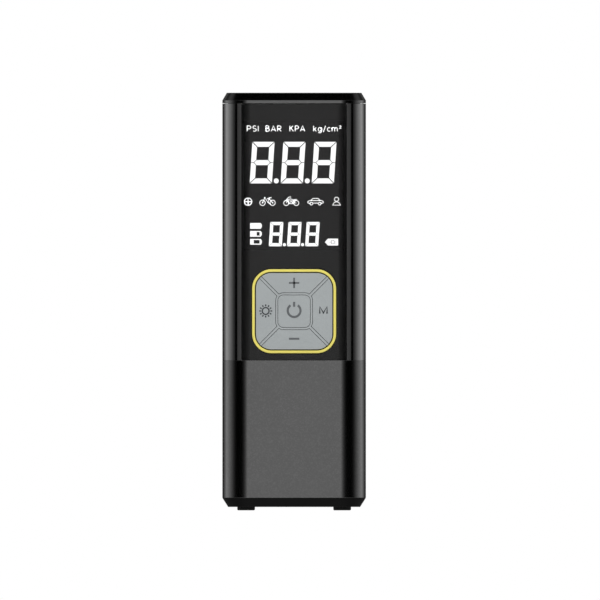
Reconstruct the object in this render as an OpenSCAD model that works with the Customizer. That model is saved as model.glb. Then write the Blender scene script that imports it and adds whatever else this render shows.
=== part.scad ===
// Cordless tower tyre inflator, millimetres.
// +Z is up and -Y is the front. The origin lies on the floor, under the middle of the case.

/* [Case] */
// Width of the case, side to side
body_w = 55; // [55:0.5:64]
// Depth of the case, front to back
body_d = 55; // [55:0.5:64]
// Overall height, feet included
body_h = 160; // [158:0.5:176]
// Radius of the four upright corners
corner_r = 9.7; // [9:0.1:10.5]
// Wall of both sleeves
wall = 2; // [1.8:0.1:2.1]
// Height of the top cap, above its shadow gap
cap_h = 4; // [3.8:0.1:5]
// Shadow gap under the top cap
cap_gap = 0.15; // [0.1:0.05:0.25]
// Height of the upright band of the top cap
cap_band = 1.1; // [0.8:0.1:1.5]
// How far the top cap's chamfer comes in
cap_inset = 1.7; // [1:0.1:2]
// Height of the base cap
base_h = 3.5; // [3.3:0.1:4]
// How far the base cap's chamfer comes in
base_inset = 2.2; // [1.5:0.1:2.6]
// Standing height of a rubber foot
foot_h = 1.3; // [1:0.1:3]
// Diameter of a rubber foot
foot_d = 6.8; // [5.6:0.1:7.6]
// Distance of feet and corner columns from the outside of the case
column_in = 9.1; // [8.7:0.1:9.5]
// Depth of the lip that enters the lower sleeve
lip_h = 3; // [2:0.1:4]

/* [Front] */
// Width of each pillar beside the lens
pillar_w = 7.5; // [7.2:0.1:7.8]
// Thickness of the display lens
lens_t = 2; // [1.6:0.1:2.2]
// How far the lens face lies behind the front plane
lens_inset = 0.3; // [0.1:0.05:0.5]
// Groove between the lens and each pillar
groove_w = 0.3; // [0.2:0.05:0.5]
// Radius of the knee where each pillar turns to its front face
knee_r = 2.5; // [2.3:0.1:2.7]
// Where the knee begins on the corner, in degrees from the front
knee_at = 30; // [27:1:32]
// Lean of the pillar's front face towards the side, in degrees
face_lean = 6; // [5.5:0.1:6.5]
// Radius that rolls the lens's upright edges back
lens_edge_r = 12; // [11:0.2:13]
// Width of that roll
lens_roll_w = 2.9; // [2.6:0.1:3.1]
// Thickness of the wall behind the lens
web_t = 1.6; // [1.2:0.1:1.8]

/* [Display] */
// Height of the display
display_h = 49.8; // [49:0.1:51]
// Distance of the display from the top of the upper sleeve
display_in = 6.55; // [6.3:0.05:7]
// Height of a pressure digit
big_digit_h = 15.9; // [12:0.1:16.5]
// Stroke of a pressure digit
big_stroke = 1.9; // [1.4:0.1:2.2]
// Height of a timer digit
small_digit_h = 9.3; // [7:0.1:10]
// Stroke of a timer digit
small_stroke = 1.2; // [0.8:0.1:1.4]
// Lean of the digits, in degrees
digit_lean = 3.7; // [0:0.1:8]

/* [Keypad] */
// Outer width of the square ring
ring_w = 32.4; // [31:0.1:34]
// Outer corner radius of the ring
ring_r = 7.5; // [6:0.1:8.5]
// Face width of the ring
ring_face = 1.4; // [1:0.1:2]
// Width of the middle key
power_key_w = 12.3; // [10:0.1:13]
// Width of the ribs between the keys
rib_w = 0.9; // [0.6:0.1:1.2]
// Gap round each key
key_gap = 0.15; // [0.1:0.01:0.25]
// Travel of each key
key_travel = 0.5; // [0.3:0.05:0.6]
// Height of the ring's middle above the seam between the sleeves
keypad_up = 18.8; // [18.6:0.1:20]
// Distance between the ring and the display
ring_to_display = 7; // [6.5:0.1:8]

/* [Battery] */
// Diameter of a cell
cell_d = 18.4; // [18:0.1:18.6]

/* [Motor and pump] */
// Diameter of the motor
motor_d = 24.4; // [22:0.1:24.6]
// Length of the motor
motor_h = 30.8; // [26:0.1:32]
// Diameter of the motor shaft
shaft_d = 2; // [1.6:0.1:2.3]
// Teeth of the motor pinion
pinion_teeth = 9; // [9:1:10]
// Teeth of the crank gear
gear_teeth = 38; // [36:1:38]
// Module of both gears, before the pump is fitted to its room
full_module = 0.6; // [0.55:0.01:0.65]
// Bore of the pump cylinder, before the pump is fitted to its room
full_bore = 16; // [14:0.5:17]
// Stroke of the piston, before the pump is fitted to its room
full_stroke = 8; // [7.4:0.1:8.4]
// Length of the connecting rod, before the pump is fitted to its room
full_rod = 20; // [19.5:0.1:21]
// Radius of the hole that the outlet thread is cut in
outlet_r = 3.45; // [3:0.05:3.6]
// Depth of the outlet thread
thread_h = 8.5; // [7:0.1:9]

/* [Hidden] */
$fn = 96;

eps = 0.01;                 // overlap of pieces of one solid
fit = 0.15;                 // clearance of cases and covers that slide together
snug = 0.05;                // clearance of screws, pins and plugs
run = 0.03;                 // radial clearance of a turning or sliding pair
wall_gap = 0.7;             // clearance of the pump and the motor from the walls

// Case: the upper sleeve holds the display and the keypad, and the lower one takes the rest
half_w = body_w / 2;
half_d = body_d / 2;
in_w = half_w - wall;
in_d = half_d - wall;
base_z = foot_h;
sleeve_z = base_z + base_h;
cap_z = body_h - cap_h;
upper_z = cap_z - cap_gap;
upper_h = keypad_up + ring_w / 2 + ring_to_display + display_h + display_in;
seam_z = upper_z - upper_h;
lower_h = seam_z - sleeve_z;
skirt_t = 1.6;
collar_in = 0.8;
skirt_h = 5;
cap_plate_t = 2;
cap_under = body_h - cap_plate_t;
floor_t = 3;
floor_z = base_z + floor_t;
foot_recess = 0.8;
spigot_h = 3.5;
lip_t = 1.5;
lip_w = in_w - fit;
lip_d = in_d - fit;
tab_t = 2;
tab_w = 11.4;
tab_z = seam_z - lip_h;
bite = 0.5;                 // how far a rib or a step runs into the wall it stands on
step_h = 2;
vents = 6;
vent_w = 22;
vent_h = 1.5;
vent_pitch = 3.6;

// Screws
screw_r = 1.25;
screw_head_r = 2.2;
screw_head_h = 1.15;
screw_l = 8;
head_seat_z = base_z + foot_recess + screw_head_h;
small_r = 0.9;
small_head_r = 1.7;
small_head_h = 1.1;
small_l = 4.5;

// Front stack, counted back from the front plane
front_y = -half_d;
lens_w = body_w - 2 * pillar_w;
lens_y = front_y + lens_inset;
lens_back = lens_y + lens_t;
pillar_x = lens_w / 2 + groove_w;
board_t = 1.6;
switch_h = 3.5;
flange_t = 0.8;
membrane_t = 1;
membrane_y = lens_back + 2 * flange_t;
switch_y = membrane_y + membrane_t + 0.1;
board_y = switch_y + switch_h;
board_back = board_y + board_t;
board_w = 2 * in_w - 5;
board_z = seam_z + 2.5;
board_top = upper_z - skirt_h - 0.7;
standoff_in = 1.7;
standoff_r = 1.9;

// Keypad
keypad_z = seam_z + keypad_up;
ring_in_w = ring_w - 2 * ring_face;
ring_in_r = ring_r - ring_face;
flange_w = ring_w + 3;
flange_r = ring_r + 1.5;
window_gap = 0.2;
key_face = front_y + 0.1;
key_t = 1.9;
rim_in = power_key_w + 2 * key_gap;
rim_w = 0.7;
rim_out = rim_in + 2 * rim_w;
key_corner = 2.05;
frame_in_w = ring_in_w - 2.2;
key_at = (ring_in_w + rim_out) / 4;
stem_r = 1.1;
stem_enter = 0.3;
switch_w = 6;

// Display
display_w = board_w - 2 * (standoff_in + standoff_r + 0.2);
display_top = upper_z - display_in;
display_y = lens_back + 0.1;
display_gap = 0.3;
segment_t = 0.4;
percent = display_w / 100;
big_z = display_top - 24;
big_x = -44.3 * percent;
big_digit_w = 22.1 * percent;
big_pitch = 30.9 * percent;
small_z = display_top - display_h + 1.7;
small_x = -25.3 * percent;
small_digit_w = 13 * percent;
small_pitch = 18.15 * percent;

// Parts on the control board: left edge, height above the seam, width, thickness, height
controller = [-9, 38, 9, 1.4, 9];
transistor = [3, 39, 3.6, 1.5, 5.2];
transistor_pitch = 4.6;
choke = [9, 6.5, 7, 3.6, 7];
socket = [-2, 27, 4, 2.4, 5];
socket_x = 14;
buzzer_x = -12;
buzzer_up = 9.5;
buzzer_r = 4.5;
buzzer_t = 4.2;
lead_r = 0.7;

// Outlet, lamp and air path in the top
outlet_y = 6;
shoulder_r = 6.8;
shoulder_h = 0.9;
shoulder_z = body_h - 0.1;
neck_r = 5;
air_z = shoulder_z - 17;
fitting_z = air_z - 3.5;
air_r = 0.9;
barb_r = 1.5;
barb_l = 5;
tube_r = 2.6;
sensor_barb_r = 1.2;
sensor_tube_r = 2;
sensor_h = 4;
lamp_y = front_y + 13.5;
lamp_w = 24;
lamp_d = 7;
lamp_flange = 1.2;
lamp_board_z = cap_under - 5.6;
lamp_board_t = 1.2;
lamp_post_x = lamp_w / 2 + lamp_flange + 2.4;

// Wall thicknesses and gaps along the pump's line, from the wrist pin to the end of the head
cyl_wall = 1.4;
fin_out = 1.8;
head_rim = 0.2;
wrist_r = 1.5;
eye_r = 2.7;
crown_t = 1.8;
crown_gap = 0.3;
gasket_t = 0.3;
head_t = 7;
pump_end = eye_r + 2 * crown_gap + crown_t + gasket_t + head_t;

// The pump is fitted to its room: in depth from the board to the motor's axis, and across from
// the crank to the right wall
motor_r = motor_d / 2;
motor_y = in_d - wall_gap - motor_r;
crank_x = -in_w + wall_gap + max(motor_r, (gear_teeth / 2 + 1) * full_module);
room_d = motor_y - board_back - 4.5 - cyl_wall - fin_out - head_rim;
room_w = in_w - 1.7 - pump_end - crank_x;
full_d = (gear_teeth + pinion_teeth) * full_module / 2 + full_bore / 2;
full_w = full_stroke / 2 + full_rod;
pump_size = min(room_d / full_d, room_w / full_w);
tooth_module = full_module * pump_size;
crank_r = full_stroke * pump_size / 2;
rod_l = full_rod * pump_size;
bore_r = full_bore * pump_size / 2;

// Gears
gear_r = gear_teeth * tooth_module / 2;
pinion_r = pinion_teeth * tooth_module / 2;
gear_gap = gear_r + pinion_r;
addendum = 0.95 * tooth_module;
dedendum = 1.2 * tooth_module;
backlash = 0.15 * tooth_module;
gear_tip = gear_r + addendum;
crank_y = motor_y - gear_gap;

// Pump, counted down from the air path: the crank turns in a level plane, and the cylinder
// lies along +X
hex_h = 2;
plug_h = 3;
head_top = air_z - 5.4 - barb_l - hex_h;
plug_z = head_top - plug_h;
barrel_r = bore_r + cyl_wall;
fin_r = barrel_r + fin_out;
head_screw_at = (fin_r + screw_r + snug + 0.1) / sqrt(2);
head_half = max(fin_r, head_screw_at + screw_head_r) + head_rim;
spigot_r = bore_r + 1;
cyl_z = head_top - head_half;
plate_t = 3;
plate_top = cyl_z - head_half - 0.2;
plate_z = plate_top - plate_t;
rod_t = 4;
open_gap = 0.3;
pin_top = cyl_z - rod_t / 2 - open_gap;
gear_t = 5;
gear_top = pin_top - 1;
gear_z = gear_top - gear_t;
axle_r = 1.5 * pump_size;
bush_r = axle_r + 0.65;
axle_head_r = axle_r + 0.8;
axle_head_h = 0.7;
axle_boss_r = axle_r + 1.7;
pin_base = gear_z + 0.8;
crank_pin_r = 1.25 * pump_size;
big_eye_r = crank_pin_r + 1.95;
pin_x = crank_x + crank_r + rod_l;
crown_x = pin_x + eye_r + crown_gap + crown_t;
skirt_x = pin_x - 3;
piston_r = bore_r - fit;
piston_in_r = piston_r - 2.3;
ring_x = crown_x - 2.4;
ring_t = 1.2;
groove_r = piston_r - 1;
flap_t = 0.15;
flange_x = crank_x + gear_tip + 0.8;
frame_flange_t = 3;
cyl_end = crown_x + crown_gap;
head_x = cyl_end + gasket_t;
head_end = head_x + head_t;
head_seat_x = head_end - screw_head_h - 0.1;
valve_x = head_x + head_t / 2;
valve_r = 2.6;
port_r = 1.2;
seat_z = cyl_z + 1.8;
disc_t = 1.2;

// Motor
motor_z = plate_z - motor_h;
collar_r = 4.5;
collar_h = 1.5;
can_t = 1;
motor_screw_x = 8;

// Pump mounts on the upper sleeve
lug_r = 3.4;
mount_gap = 1.5;
boss_r = 3.6;
boss_h = 11;
mount_in = lug_r + 0.4;
isolator_r = 2.3;
isolator_top = 1;
mounts = [[-in_w + mount_in, board_back + wall_gap + boss_r],
          [in_w - mount_in, in_d - 10.6],
          [crank_x + motor_r + 5.4, in_d - mount_in]];

// Battery: the holder stands on the base cap, and the cells fill the height under the motor
holder_t = 2;
holder_wall = 1.6;
holder_top_t = 1.5;
holder_top = motor_z - 0.5;
holder_z = holder_top - holder_top_t;
tab_metal = 0.2;
cell_clear = 0.3;
cell_pitch = cell_d + 0.6;
cell_y = 3;
cell_z = floor_z + holder_t + tab_metal;
cell_top = holder_z - tab_metal;
cell_h = cell_top - cell_z;
holder_x = cell_pitch / 2 + cell_d / 2 + cell_clear;
holder_y = cell_y - cell_d / 2 - cell_clear;
holder_w = 2 * (holder_x + holder_wall);
column_r = 3.2;
cup_h = 6;
cup_wall = 1.2;
lead_y = cell_y - 5;
lead_hole_r = 1.3;

// Charge board on the holder's shelf
shelf_t = 2;
shelf_z = tab_z - 8.5 - shelf_t;
charge_t = 1.2;
charge_w = 24;
shelf_w = charge_w + 4;
charge_z = shelf_z + shelf_t;
charge_y = cell_y + cell_d / 2 + 1;
charge_hole_x = charge_w / 2 - 2.2;
charge_hole_y = charge_y + 4;
usb_w = 8.94;
usb_h = 3.16;
usb_l = 7.35;
usb_wall = 0.3;
usb_z = charge_z + charge_t + usb_h / 2;
usb_mouth = half_d - 1.3;

// ---------- shapes that repeat ----------

// Rectangle with round corners, centred
module round_rect(w, d, r) {
    square([w - 2 * r, d], center = true);
    square([w, d - 2 * r], center = true);
    for (x = [-1, 1], y = [-1, 1])
        translate([x * (w / 2 - r), y * (d / 2 - r)]) circle(r);
}

// Ring between two rounded rectangles
module round_ring(w, d, r, t) {
    difference() {
        round_rect(w, d, r);
        round_rect(w - 2 * t, d - 2 * t, r - t);
    }
}

// A plan and its mirror image
module both_sides() {
    children();
    mirror([1, 0]) children();
}

// Level slab from z up
module slab_z(z, t) {
    translate([0, 0, z]) linear_extrude(t) children();
}

// Upright slab, drawn in X and Z, from y towards the back
module slab_y(y, t) {
    translate([0, y + t, 0]) rotate([90, 0, 0]) linear_extrude(t) children();
}

// Rod of radius r from x, length l, along +X
module rod_x(x, l, r) {
    translate([x, 0, 0]) rotate([0, 90, 0]) cylinder(h = l, r = r);
}

// Rod of radius r from y, length l, along +Y
module rod_y(y, l, r) {
    translate([0, y, 0]) rotate([-90, 0, 0]) cylinder(h = l, r = r);
}

// Block with round upright corners whose sides lean in by inset towards the top
module chamfer_block(w, d, r, inset, h) {
    x = w / 2;
    y = d / 2;
    translate([0, y - r, 0]) rotate([90, 0, 0]) linear_extrude(d - 2 * r)
        polygon([[-x, 0], [x, 0], [x - inset, h], [inset - x, h]]);
    translate([r - x, 0, 0]) rotate([90, 0, 90]) linear_extrude(w - 2 * r)
        polygon([[-y, 0], [y, 0], [y - inset, h], [inset - y, h]]);
    for (k = [0:3])
        translate([(k == 0 || k == 3 ? 1 : -1) * (x - r), (k < 2 ? 1 : -1) * (y - r), 0])
            rotate([0, 0, 90 * k]) rotate_extrude(angle = 90)
                polygon([[0, 0], [r, 0], [r - inset, h], [0, h]]);
}

// The four corners of the case
module at_columns() {
    for (x = [-1, 1], y = [-1, 1])
        translate([x * (half_w - column_in), y * (half_d - column_in), 0]) children();
}

// The four standoffs of the control board
module at_standoffs() {
    for (x = [-1, 1], z = [board_z + 2.4, board_top - 2.4])
        translate([x * (board_w / 2 - standoff_in), 0, z]) children();
}

// Screw pointing down, its head resting at z = 0
module screw(r, l, head_r, head_h) {
    translate([0, 0, -l]) cylinder(h = l + eps, r = r);
    difference() {
        cylinder(h = head_h, r = head_r);
        translate([0, 0, head_h * 0.4]) cylinder(h = head_h, r = head_r * 0.5, $fn = 6);
    }
}

// Ring of points round p, square to direction t
function ring_at(p, t, ref, r, sides) =
    let (u = cross(ref, t) / norm(cross(ref, t)), v = cross(t, u) / norm(t))
    [for (i = [0:sides - 1]) p + r * (cos(360 * i / sides) * u + sin(360 * i / sides) * v)];

// Direction of a route at point i
function heading(path, i) =
    let (n = len(path) - 1, d = path[min(i + 1, n)] - path[max(i - 1, 0)]) d / norm(d);

// Tube along a route; ref is any direction that the route never takes
module sweep(path, r, sides, ref) {
    n = len(path);
    rings = [for (i = [0:n - 1]) each ring_at(path[i], heading(path, i), ref, r, sides)];
    walls = [for (j = [0:n - 2], i = [0:sides - 1])
        let (a = j * sides + i, b = j * sides + (i + 1) % sides) [a + sides, b + sides, b, a]];
    ends = [[for (i = [0:sides - 1]) i], [for (i = [sides - 1:-1:0]) (n - 1) * sides + i]];
    polyhedron(rings, concat(walls, ends));
}

// Smooth curve between a and d with handles b and c
function curve(a, b, c, d, steps) =
    [for (i = [0:steps]) let (t = i / steps, s = 1 - t)
        s * s * s * a + 3 * s * s * t * b + 3 * s * t * t * c + t * t * t * d];

// ---------- case ----------

module lower_sleeve() color("#5d5d5f") {
    difference() {
        slab_z(sleeve_z, lower_h) round_ring(body_w, body_d, corner_r, wall);
        // charging port, with a shallow recess for the plug's grip
        translate([0, 0, usb_z]) {
            slab_y(in_d - 1, wall + 2) round_rect(usb_w + 0.6, usb_h + 0.6, (usb_h + 0.6) / 2 - eps);
            slab_y(half_d - 0.8, 2) round_rect(usb_w + 4, usb_h + 3.4, (usb_h + 3.4) / 2 - eps);
        }
    }
}

// Point at radius r, a degrees round from the front
function from_front(a, r) = [r * sin(a), -r * cos(a)];

// Plan of the upper sleeve: pillars with a knee and a leaning front face, wall behind the lens
module upper_plan() {
    arc_x = half_w - corner_r;
    arc_y = corner_r - half_d;
    difference() {
        round_ring(body_w, body_d, corner_r, wall);
        translate([-pillar_x, front_y - 1]) square([2 * pillar_x, lens_back - front_y + 1]);
        both_sides() translate([arc_x, arc_y] + from_front(knee_at, corner_r - knee_r)) {
            difference() {
                polygon([[0, 0], from_front(face_lean, 2 * knee_r), from_front(knee_at, 2 * knee_r)]);
                circle(knee_r);
            }
            rotate(face_lean) translate([-2 * knee_r, -2 * knee_r]) square([2 * knee_r + eps, knee_r]);
        }
    }
    translate([-pillar_x - 1.4, lens_back]) square([2 * pillar_x + 2.8, web_t]);
}

module upper_sleeve() color("#151515") {
    mount_z = plate_z - mount_gap;
    difference() {
        union() {
            slab_z(seam_z, upper_z - seam_z) upper_plan();
            // lip that enters the lower sleeve, and the shoulder that joins it to the wall
            slab_z(tab_z, lip_h) round_ring(2 * lip_w, 2 * lip_d, corner_r - wall - fit, lip_t);
            slab_z(seam_z, step_h) difference() {
                round_ring(2 * (in_w + bite), 2 * (in_d + bite), corner_r - wall + bite,
                    bite + fit + lip_t);
                translate([-pillar_x, front_y]) square([2 * pillar_x, lens_back - front_y]);
                translate([-half_w, front_y]) square([body_w, wall - 0.4]);
            }
            // corner tabs that take the column screws
            slab_z(tab_z, tab_t) difference() {
                intersection() {
                    round_rect(2 * lip_w - 1, 2 * lip_d - 1, corner_r - wall - 0.65);
                    at_columns() translate([-tab_w / 2, -tab_w / 2]) square(tab_w);
                }
                at_cells() circle(cell_d / 2 + 2 * cell_clear);
            }
            // bosses for the pump frame
            for (m = mounts) translate([m.x, m.y, mount_z - boss_h]) {
                cylinder(h = boss_h, r = boss_r);
                // rib to the nearest wall
                rib_l = mount_in + bite;
                if (abs(m.x) > abs(m.y))
                    translate([m.x > 0 ? 0 : -rib_l, -1.5, 0]) cube([rib_l, 3, boss_h]);
                else
                    translate([-1.5, 0, 0]) cube([3, rib_l, boss_h]);
            }
            // standoffs for the control board
            at_standoffs() rod_y(lens_back + 0.6, board_y - lens_back - 0.6, standoff_r);
            // ledges that carry the top cap
            for (x = [-1, 1], y = [-8, 10])
                translate([x * (in_w - 0.9), y, upper_z - skirt_h - 1]) cube([2, 4, 2], center = true);
        }
        // display and keypad windows
        slab_y(lens_back - 1, web_t + 2) translate([0, display_top - display_h / 2])
            square([display_w + 2 * display_gap, display_h + 2 * display_gap], center = true);
        slab_y(lens_back - 1, web_t + 2) translate([0, keypad_z])
            round_rect(flange_w + 2 * window_gap, flange_w + 2 * window_gap, flange_r + window_gap);
        // air slots in the back
        for (k = [0:vents - 1]) translate([0, 0, plate_top + 4 + vent_pitch * k])
            slab_y(in_d - 1, wall + 2) round_rect(vent_w, vent_h, vent_h / 2 - eps);
        // screw holes
        for (m = mounts) translate([m.x, m.y, mount_z - 9]) cylinder(h = 10, r = screw_r + snug);
        at_standoffs() rod_y(board_back - small_l, small_l, small_r + snug);
        at_columns() translate([0, 0, tab_z - 1]) cylinder(h = tab_t + 2, r = screw_r + snug);
    }
}

module top_cap() color("#5a5a5c") {
    skirt_bottom = upper_z - skirt_h;
    pocket_w = 2 * (in_w - fit - skirt_t);
    pocket_d = 2 * (in_d - fit - skirt_t);
    difference() {
        union() {
            slab_z(cap_z, cap_band) round_rect(body_w, body_d, corner_r);
            slab_z(upper_z + cap_gap / 3, cap_gap)
                round_rect(body_w - 2 * collar_in, body_d - 2 * collar_in, corner_r - collar_in);
            translate([0, 0, cap_z + cap_band])
                chamfer_block(body_w, body_d, corner_r, cap_inset, cap_h - cap_band);
            slab_z(skirt_bottom, skirt_h + cap_gap + eps) difference() {
                round_rect(2 * (in_w - fit), 2 * (in_d - fit), corner_r - wall - fit);
                translate([-half_w, front_y]) square([body_w, 10]);
            }
        }
        // hollow underside
        slab_z(skirt_bottom - 1, cap_under - skirt_bottom + 1)
            round_rect(pocket_w, pocket_d, corner_r - wall - fit - skirt_t);
        // outlet
        translate([0, outlet_y, cap_z]) cylinder(h = cap_h + 1, r = neck_r + snug * 2);
        translate([0, outlet_y, shoulder_z - shoulder_h]) cylinder(h = cap_h, r = shoulder_r + snug * 2);
        // lamp window
        slab_z(cap_z, cap_h + 1) translate([0, lamp_y])
            round_rect(lamp_w + 2 * snug, lamp_d + 2 * snug, lamp_d / 2 - 0.1);
    }
    // posts that carry the lamp board
    for (x = [-1, 1]) translate([x * lamp_post_x, lamp_y, lamp_board_z + lamp_board_t]) difference() {
        cylinder(h = cap_under - lamp_board_z - lamp_board_t + eps, r = standoff_r);
        translate([0, 0, -1]) cylinder(h = small_l, r = small_r + snug);
    }
}

module base_cap() color("#1c1c1d") {
    rim_x = 2 * (in_w - fit);
    rim_y = 2 * (in_d - fit);
    rim_r = corner_r - wall - fit;
    difference() {
        union() {
            translate([0, 0, sleeve_z]) mirror([0, 0, 1])
                chamfer_block(body_w, body_d, corner_r, base_inset, base_h);
            slab_z(sleeve_z - eps, spigot_h) round_rect(rim_x, rim_y, rim_r);
        }
        slab_z(floor_z, base_h + spigot_h)
            round_rect(rim_x - 2 * skirt_t, rim_y - 2 * skirt_t, rim_r - skirt_t);
        at_columns() {
            translate([0, 0, base_z - 1]) cylinder(h = 1 + foot_recess, r = foot_d / 2 + snug);
            translate([0, 0, base_z - 1]) cylinder(h = head_seat_z + 1 - base_z, r = screw_head_r + 0.1);
            translate([0, 0, base_z]) cylinder(h = 10, r = screw_r + snug);
        }
    }
}

module feet() color("#101010") {
    edge = 0.5;
    at_columns() rotate_extrude() {
        square([foot_d / 2 - edge, foot_h + foot_recess]);
        translate([0, edge]) square([foot_d / 2, foot_h + foot_recess - edge]);
        translate([foot_d / 2 - edge, edge]) intersection() {
            circle(edge);
            translate([0, -edge]) square([edge, edge]);
        }
    }
}

module case_screws() color("#8d8d90") {
    // from below, under the feet
    at_columns() translate([0, 0, head_seat_z]) mirror([0, 0, 1])
        screw(screw_r, screw_l, screw_head_r, screw_head_h);
    // from above, through the tabs of the upper sleeve
    at_columns() translate([0, 0, tab_z + tab_t]) screw(screw_r, screw_l, screw_head_r, screw_head_h);
}

// Plan of the lens: flat face, and edges rolled back towards the groove
module lens_plan() {
    roll_d = 2 * lens_edge_r + 1;
    intersection() {
        translate([0, lens_y + roll_d / 2])
            round_rect(lens_w + 2 * (lens_edge_r - lens_roll_w), roll_d, lens_edge_r);
        translate([-lens_w / 2, front_y]) square([lens_w, lens_back - front_y]);
    }
}

module lens_panel() color("#2a2a2a") {
    difference() {
        slab_z(seam_z, upper_z - seam_z) lens_plan();
        slab_y(front_y - 1, 6) translate([0, keypad_z])
            round_rect(ring_w + 2 * key_gap, ring_w + 2 * key_gap, ring_r + key_gap);
    }
}

// ---------- display ----------

module display_housing() color("#0c0c0c") {
    slab_y(display_y + segment_t, board_y - display_y - segment_t)
        translate([0, display_top - display_h / 2]) square([display_w, display_h], center = true);
}

// Bar of length l and thickness t along +X, mitred at both ends. out tells on which side of
// it the digit ends: 1 above, -1 below, 0 for the middle bar
function bar(l, t, out) = out == 0
    ? [[0, 0], [t / 2, t / 2], [l - t / 2, t / 2], [l, 0], [l - t / 2, -t / 2], [t / 2, -t / 2]]
    : [[0, 0], [l, 0], [l - t, -out * t], [t, -out * t]];

// Upright of half a digit from y = low to high on the left side; its middle end is pointed
function upright(low, high, t, middle_up) = middle_up
    ? [[0, low], [0, high], [t / 2, high], [t, high - t / 2], [t, low + t]]
    : [[0, low], [0, high], [t, high - t], [t, low + t / 2], [t / 2, low]];

// The seven bars of an 8, w wide and h high, with a slit between them
function digit(w, h, t, slit) =
    let (bars = [[[slit, h], bar(w - 2 * slit, t, 1)], [[slit, 0], bar(w - 2 * slit, t, -1)],
                 [[t / 2 + slit, h / 2], bar(w - t - 2 * slit, t, 0)]],
         left = [upright(slit, (h - slit) / 2, t, true), upright((h + slit) / 2, h - slit, t, false)])
    concat([for (b = bars) [for (p = b[1]) p + b[0]]], left,
           [for (u = left) [for (p = u) [w - p.x, p.y]]]);

// Three leaning digits with two points between them
module reading(x, z, w, h, t, pitch, slit) {
    lean = tan(digit_lean);
    slab_y(display_y, segment_t) translate([x, z]) {
        for (k = [0:2], b = digit(w, h, t, slit))
            polygon([for (p = b) [p.x + k * pitch + lean * p.y, p.y]]);
        for (k = [1:2]) translate([k * pitch - (pitch - w) / 2, t / 2]) circle(t / 2);
    }
}

module display_segments() color("#f4f6f8") {
    reading(big_x, big_z, big_digit_w, big_digit_h, big_stroke, big_pitch, 0.24);
    reading(small_x, small_z, small_digit_w, small_digit_h, small_stroke, small_pitch, 0.1);
}

// ---------- keypad ----------

module keypad_bezel() color("#dfd36f") {
    translate([0, 0, keypad_z]) difference() {
        union() {
            slab_y(front_y, lens_back - front_y) round_rect(ring_w, ring_w, ring_r);
            slab_y(lens_back, flange_t) round_rect(flange_w, flange_w, flange_r);
        }
        slab_y(front_y - 1, 6) round_rect(ring_in_w, ring_in_w, ring_in_r);
    }
}

module key_frame() color("#8e9494") {
    depth = membrane_y - key_face;
    reach = (ring_in_w / 2 - ring_in_r) * sqrt(2) + ring_in_r - 0.1;
    translate([0, 0, keypad_z]) difference() {
        union() {
            slab_y(key_face, depth) round_rect(rim_out, rim_out, key_corner + key_gap + rim_w);
            for (a = [45, 135]) slab_y(key_face, depth)
                rotate(a) square([2 * reach, rib_w], center = true);
            slab_y(membrane_y - flange_t, flange_t) difference() {
                round_rect(flange_w, flange_w, flange_r);
                round_rect(frame_in_w, frame_in_w, ring_in_r - 1.1);
            }
        }
        slab_y(front_y - 1, 8) round_rect(rim_in, rim_in, key_corner + key_gap);
    }
}

// Stem of a key, reaching into its switch
module stem() {
    rod_y(key_face + key_t - eps, switch_y + stem_enter - key_face - key_t + eps, stem_r);
}

// Side key above the middle one; turn it by a to get the others
module side_key(a) {
    apex = (rib_w / 2 + key_gap) * sqrt(2);
    w = ring_in_w - 2 * key_gap;
    translate([0, 0, keypad_z]) rotate([0, a, 0]) {
        slab_y(key_face, key_t) difference() {
            intersection() {
                round_rect(w, w, ring_in_r - key_gap);
                polygon([[0, apex], [w, apex + w], [-w, apex + w]]);
            }
            round_rect(rim_out + 2 * key_gap, rim_out + 2 * key_gap,
                key_corner + 2 * key_gap + rim_w);
        }
        translate([0, 0, key_at]) stem();
    }
}

module key_plus() color("#a2a7a8") side_key(0);
module key_mode() color("#a2a7a8") side_key(90);
module key_minus() color("#a2a7a8") side_key(180);
module key_light() color("#a2a7a8") side_key(270);

module key_power() color("#a2a7a8") {
    translate([0, 0, keypad_z]) {
        slab_y(key_face, key_t) round_rect(power_key_w, power_key_w, key_corner);
        stem();
    }
}

// The five stem positions
module at_keys() {
    translate([0, 0, keypad_z]) {
        children();
        for (a = [0, 90, 180, 270]) rotate([0, a, 0]) translate([0, 0, key_at]) children();
    }
}

module key_membrane() color("#6f7374") {
    difference() {
        translate([0, 0, keypad_z]) slab_y(membrane_y, membrane_t) round_rect(flange_w, flange_w, flange_r);
        at_keys() rod_y(membrane_y - 1, membrane_t + 2, stem_r + 0.3);
    }
}

module key_switches() color("#2b2b2b") {
    at_keys() difference() {
        translate([-switch_w / 2, switch_y, -switch_w / 2]) cube([switch_w, switch_h, switch_w]);
        rod_y(switch_y - 1, 1 + stem_enter + key_travel + 0.4, stem_r + 0.2);
    }
}

// ---------- electronics ----------

module control_board() color("#1f5a34") {
    difference() {
        translate([-board_w / 2, board_y, board_z]) cube([board_w, board_t, board_top - board_z]);
        at_standoffs() rod_y(board_y - 1, board_t + 2, small_r + snug);
    }
}

// Block on the back of the control board
module on_board(p) {
    translate([p[0], board_back, seam_z + p[1]]) cube([p[2], p[3], p[4]]);
}

module board_parts() color("#202022") {
    on_board(controller);
    for (k = [0:2]) translate([transistor_pitch * k, 0, 0]) on_board(transistor);
    on_board(choke);
    for (side = [-1, 1]) translate([side * socket_x, 0, 0]) on_board(socket);
    translate([buzzer_x, 0, seam_z + buzzer_up]) rod_y(board_back, buzzer_t, buzzer_r);
}

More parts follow.
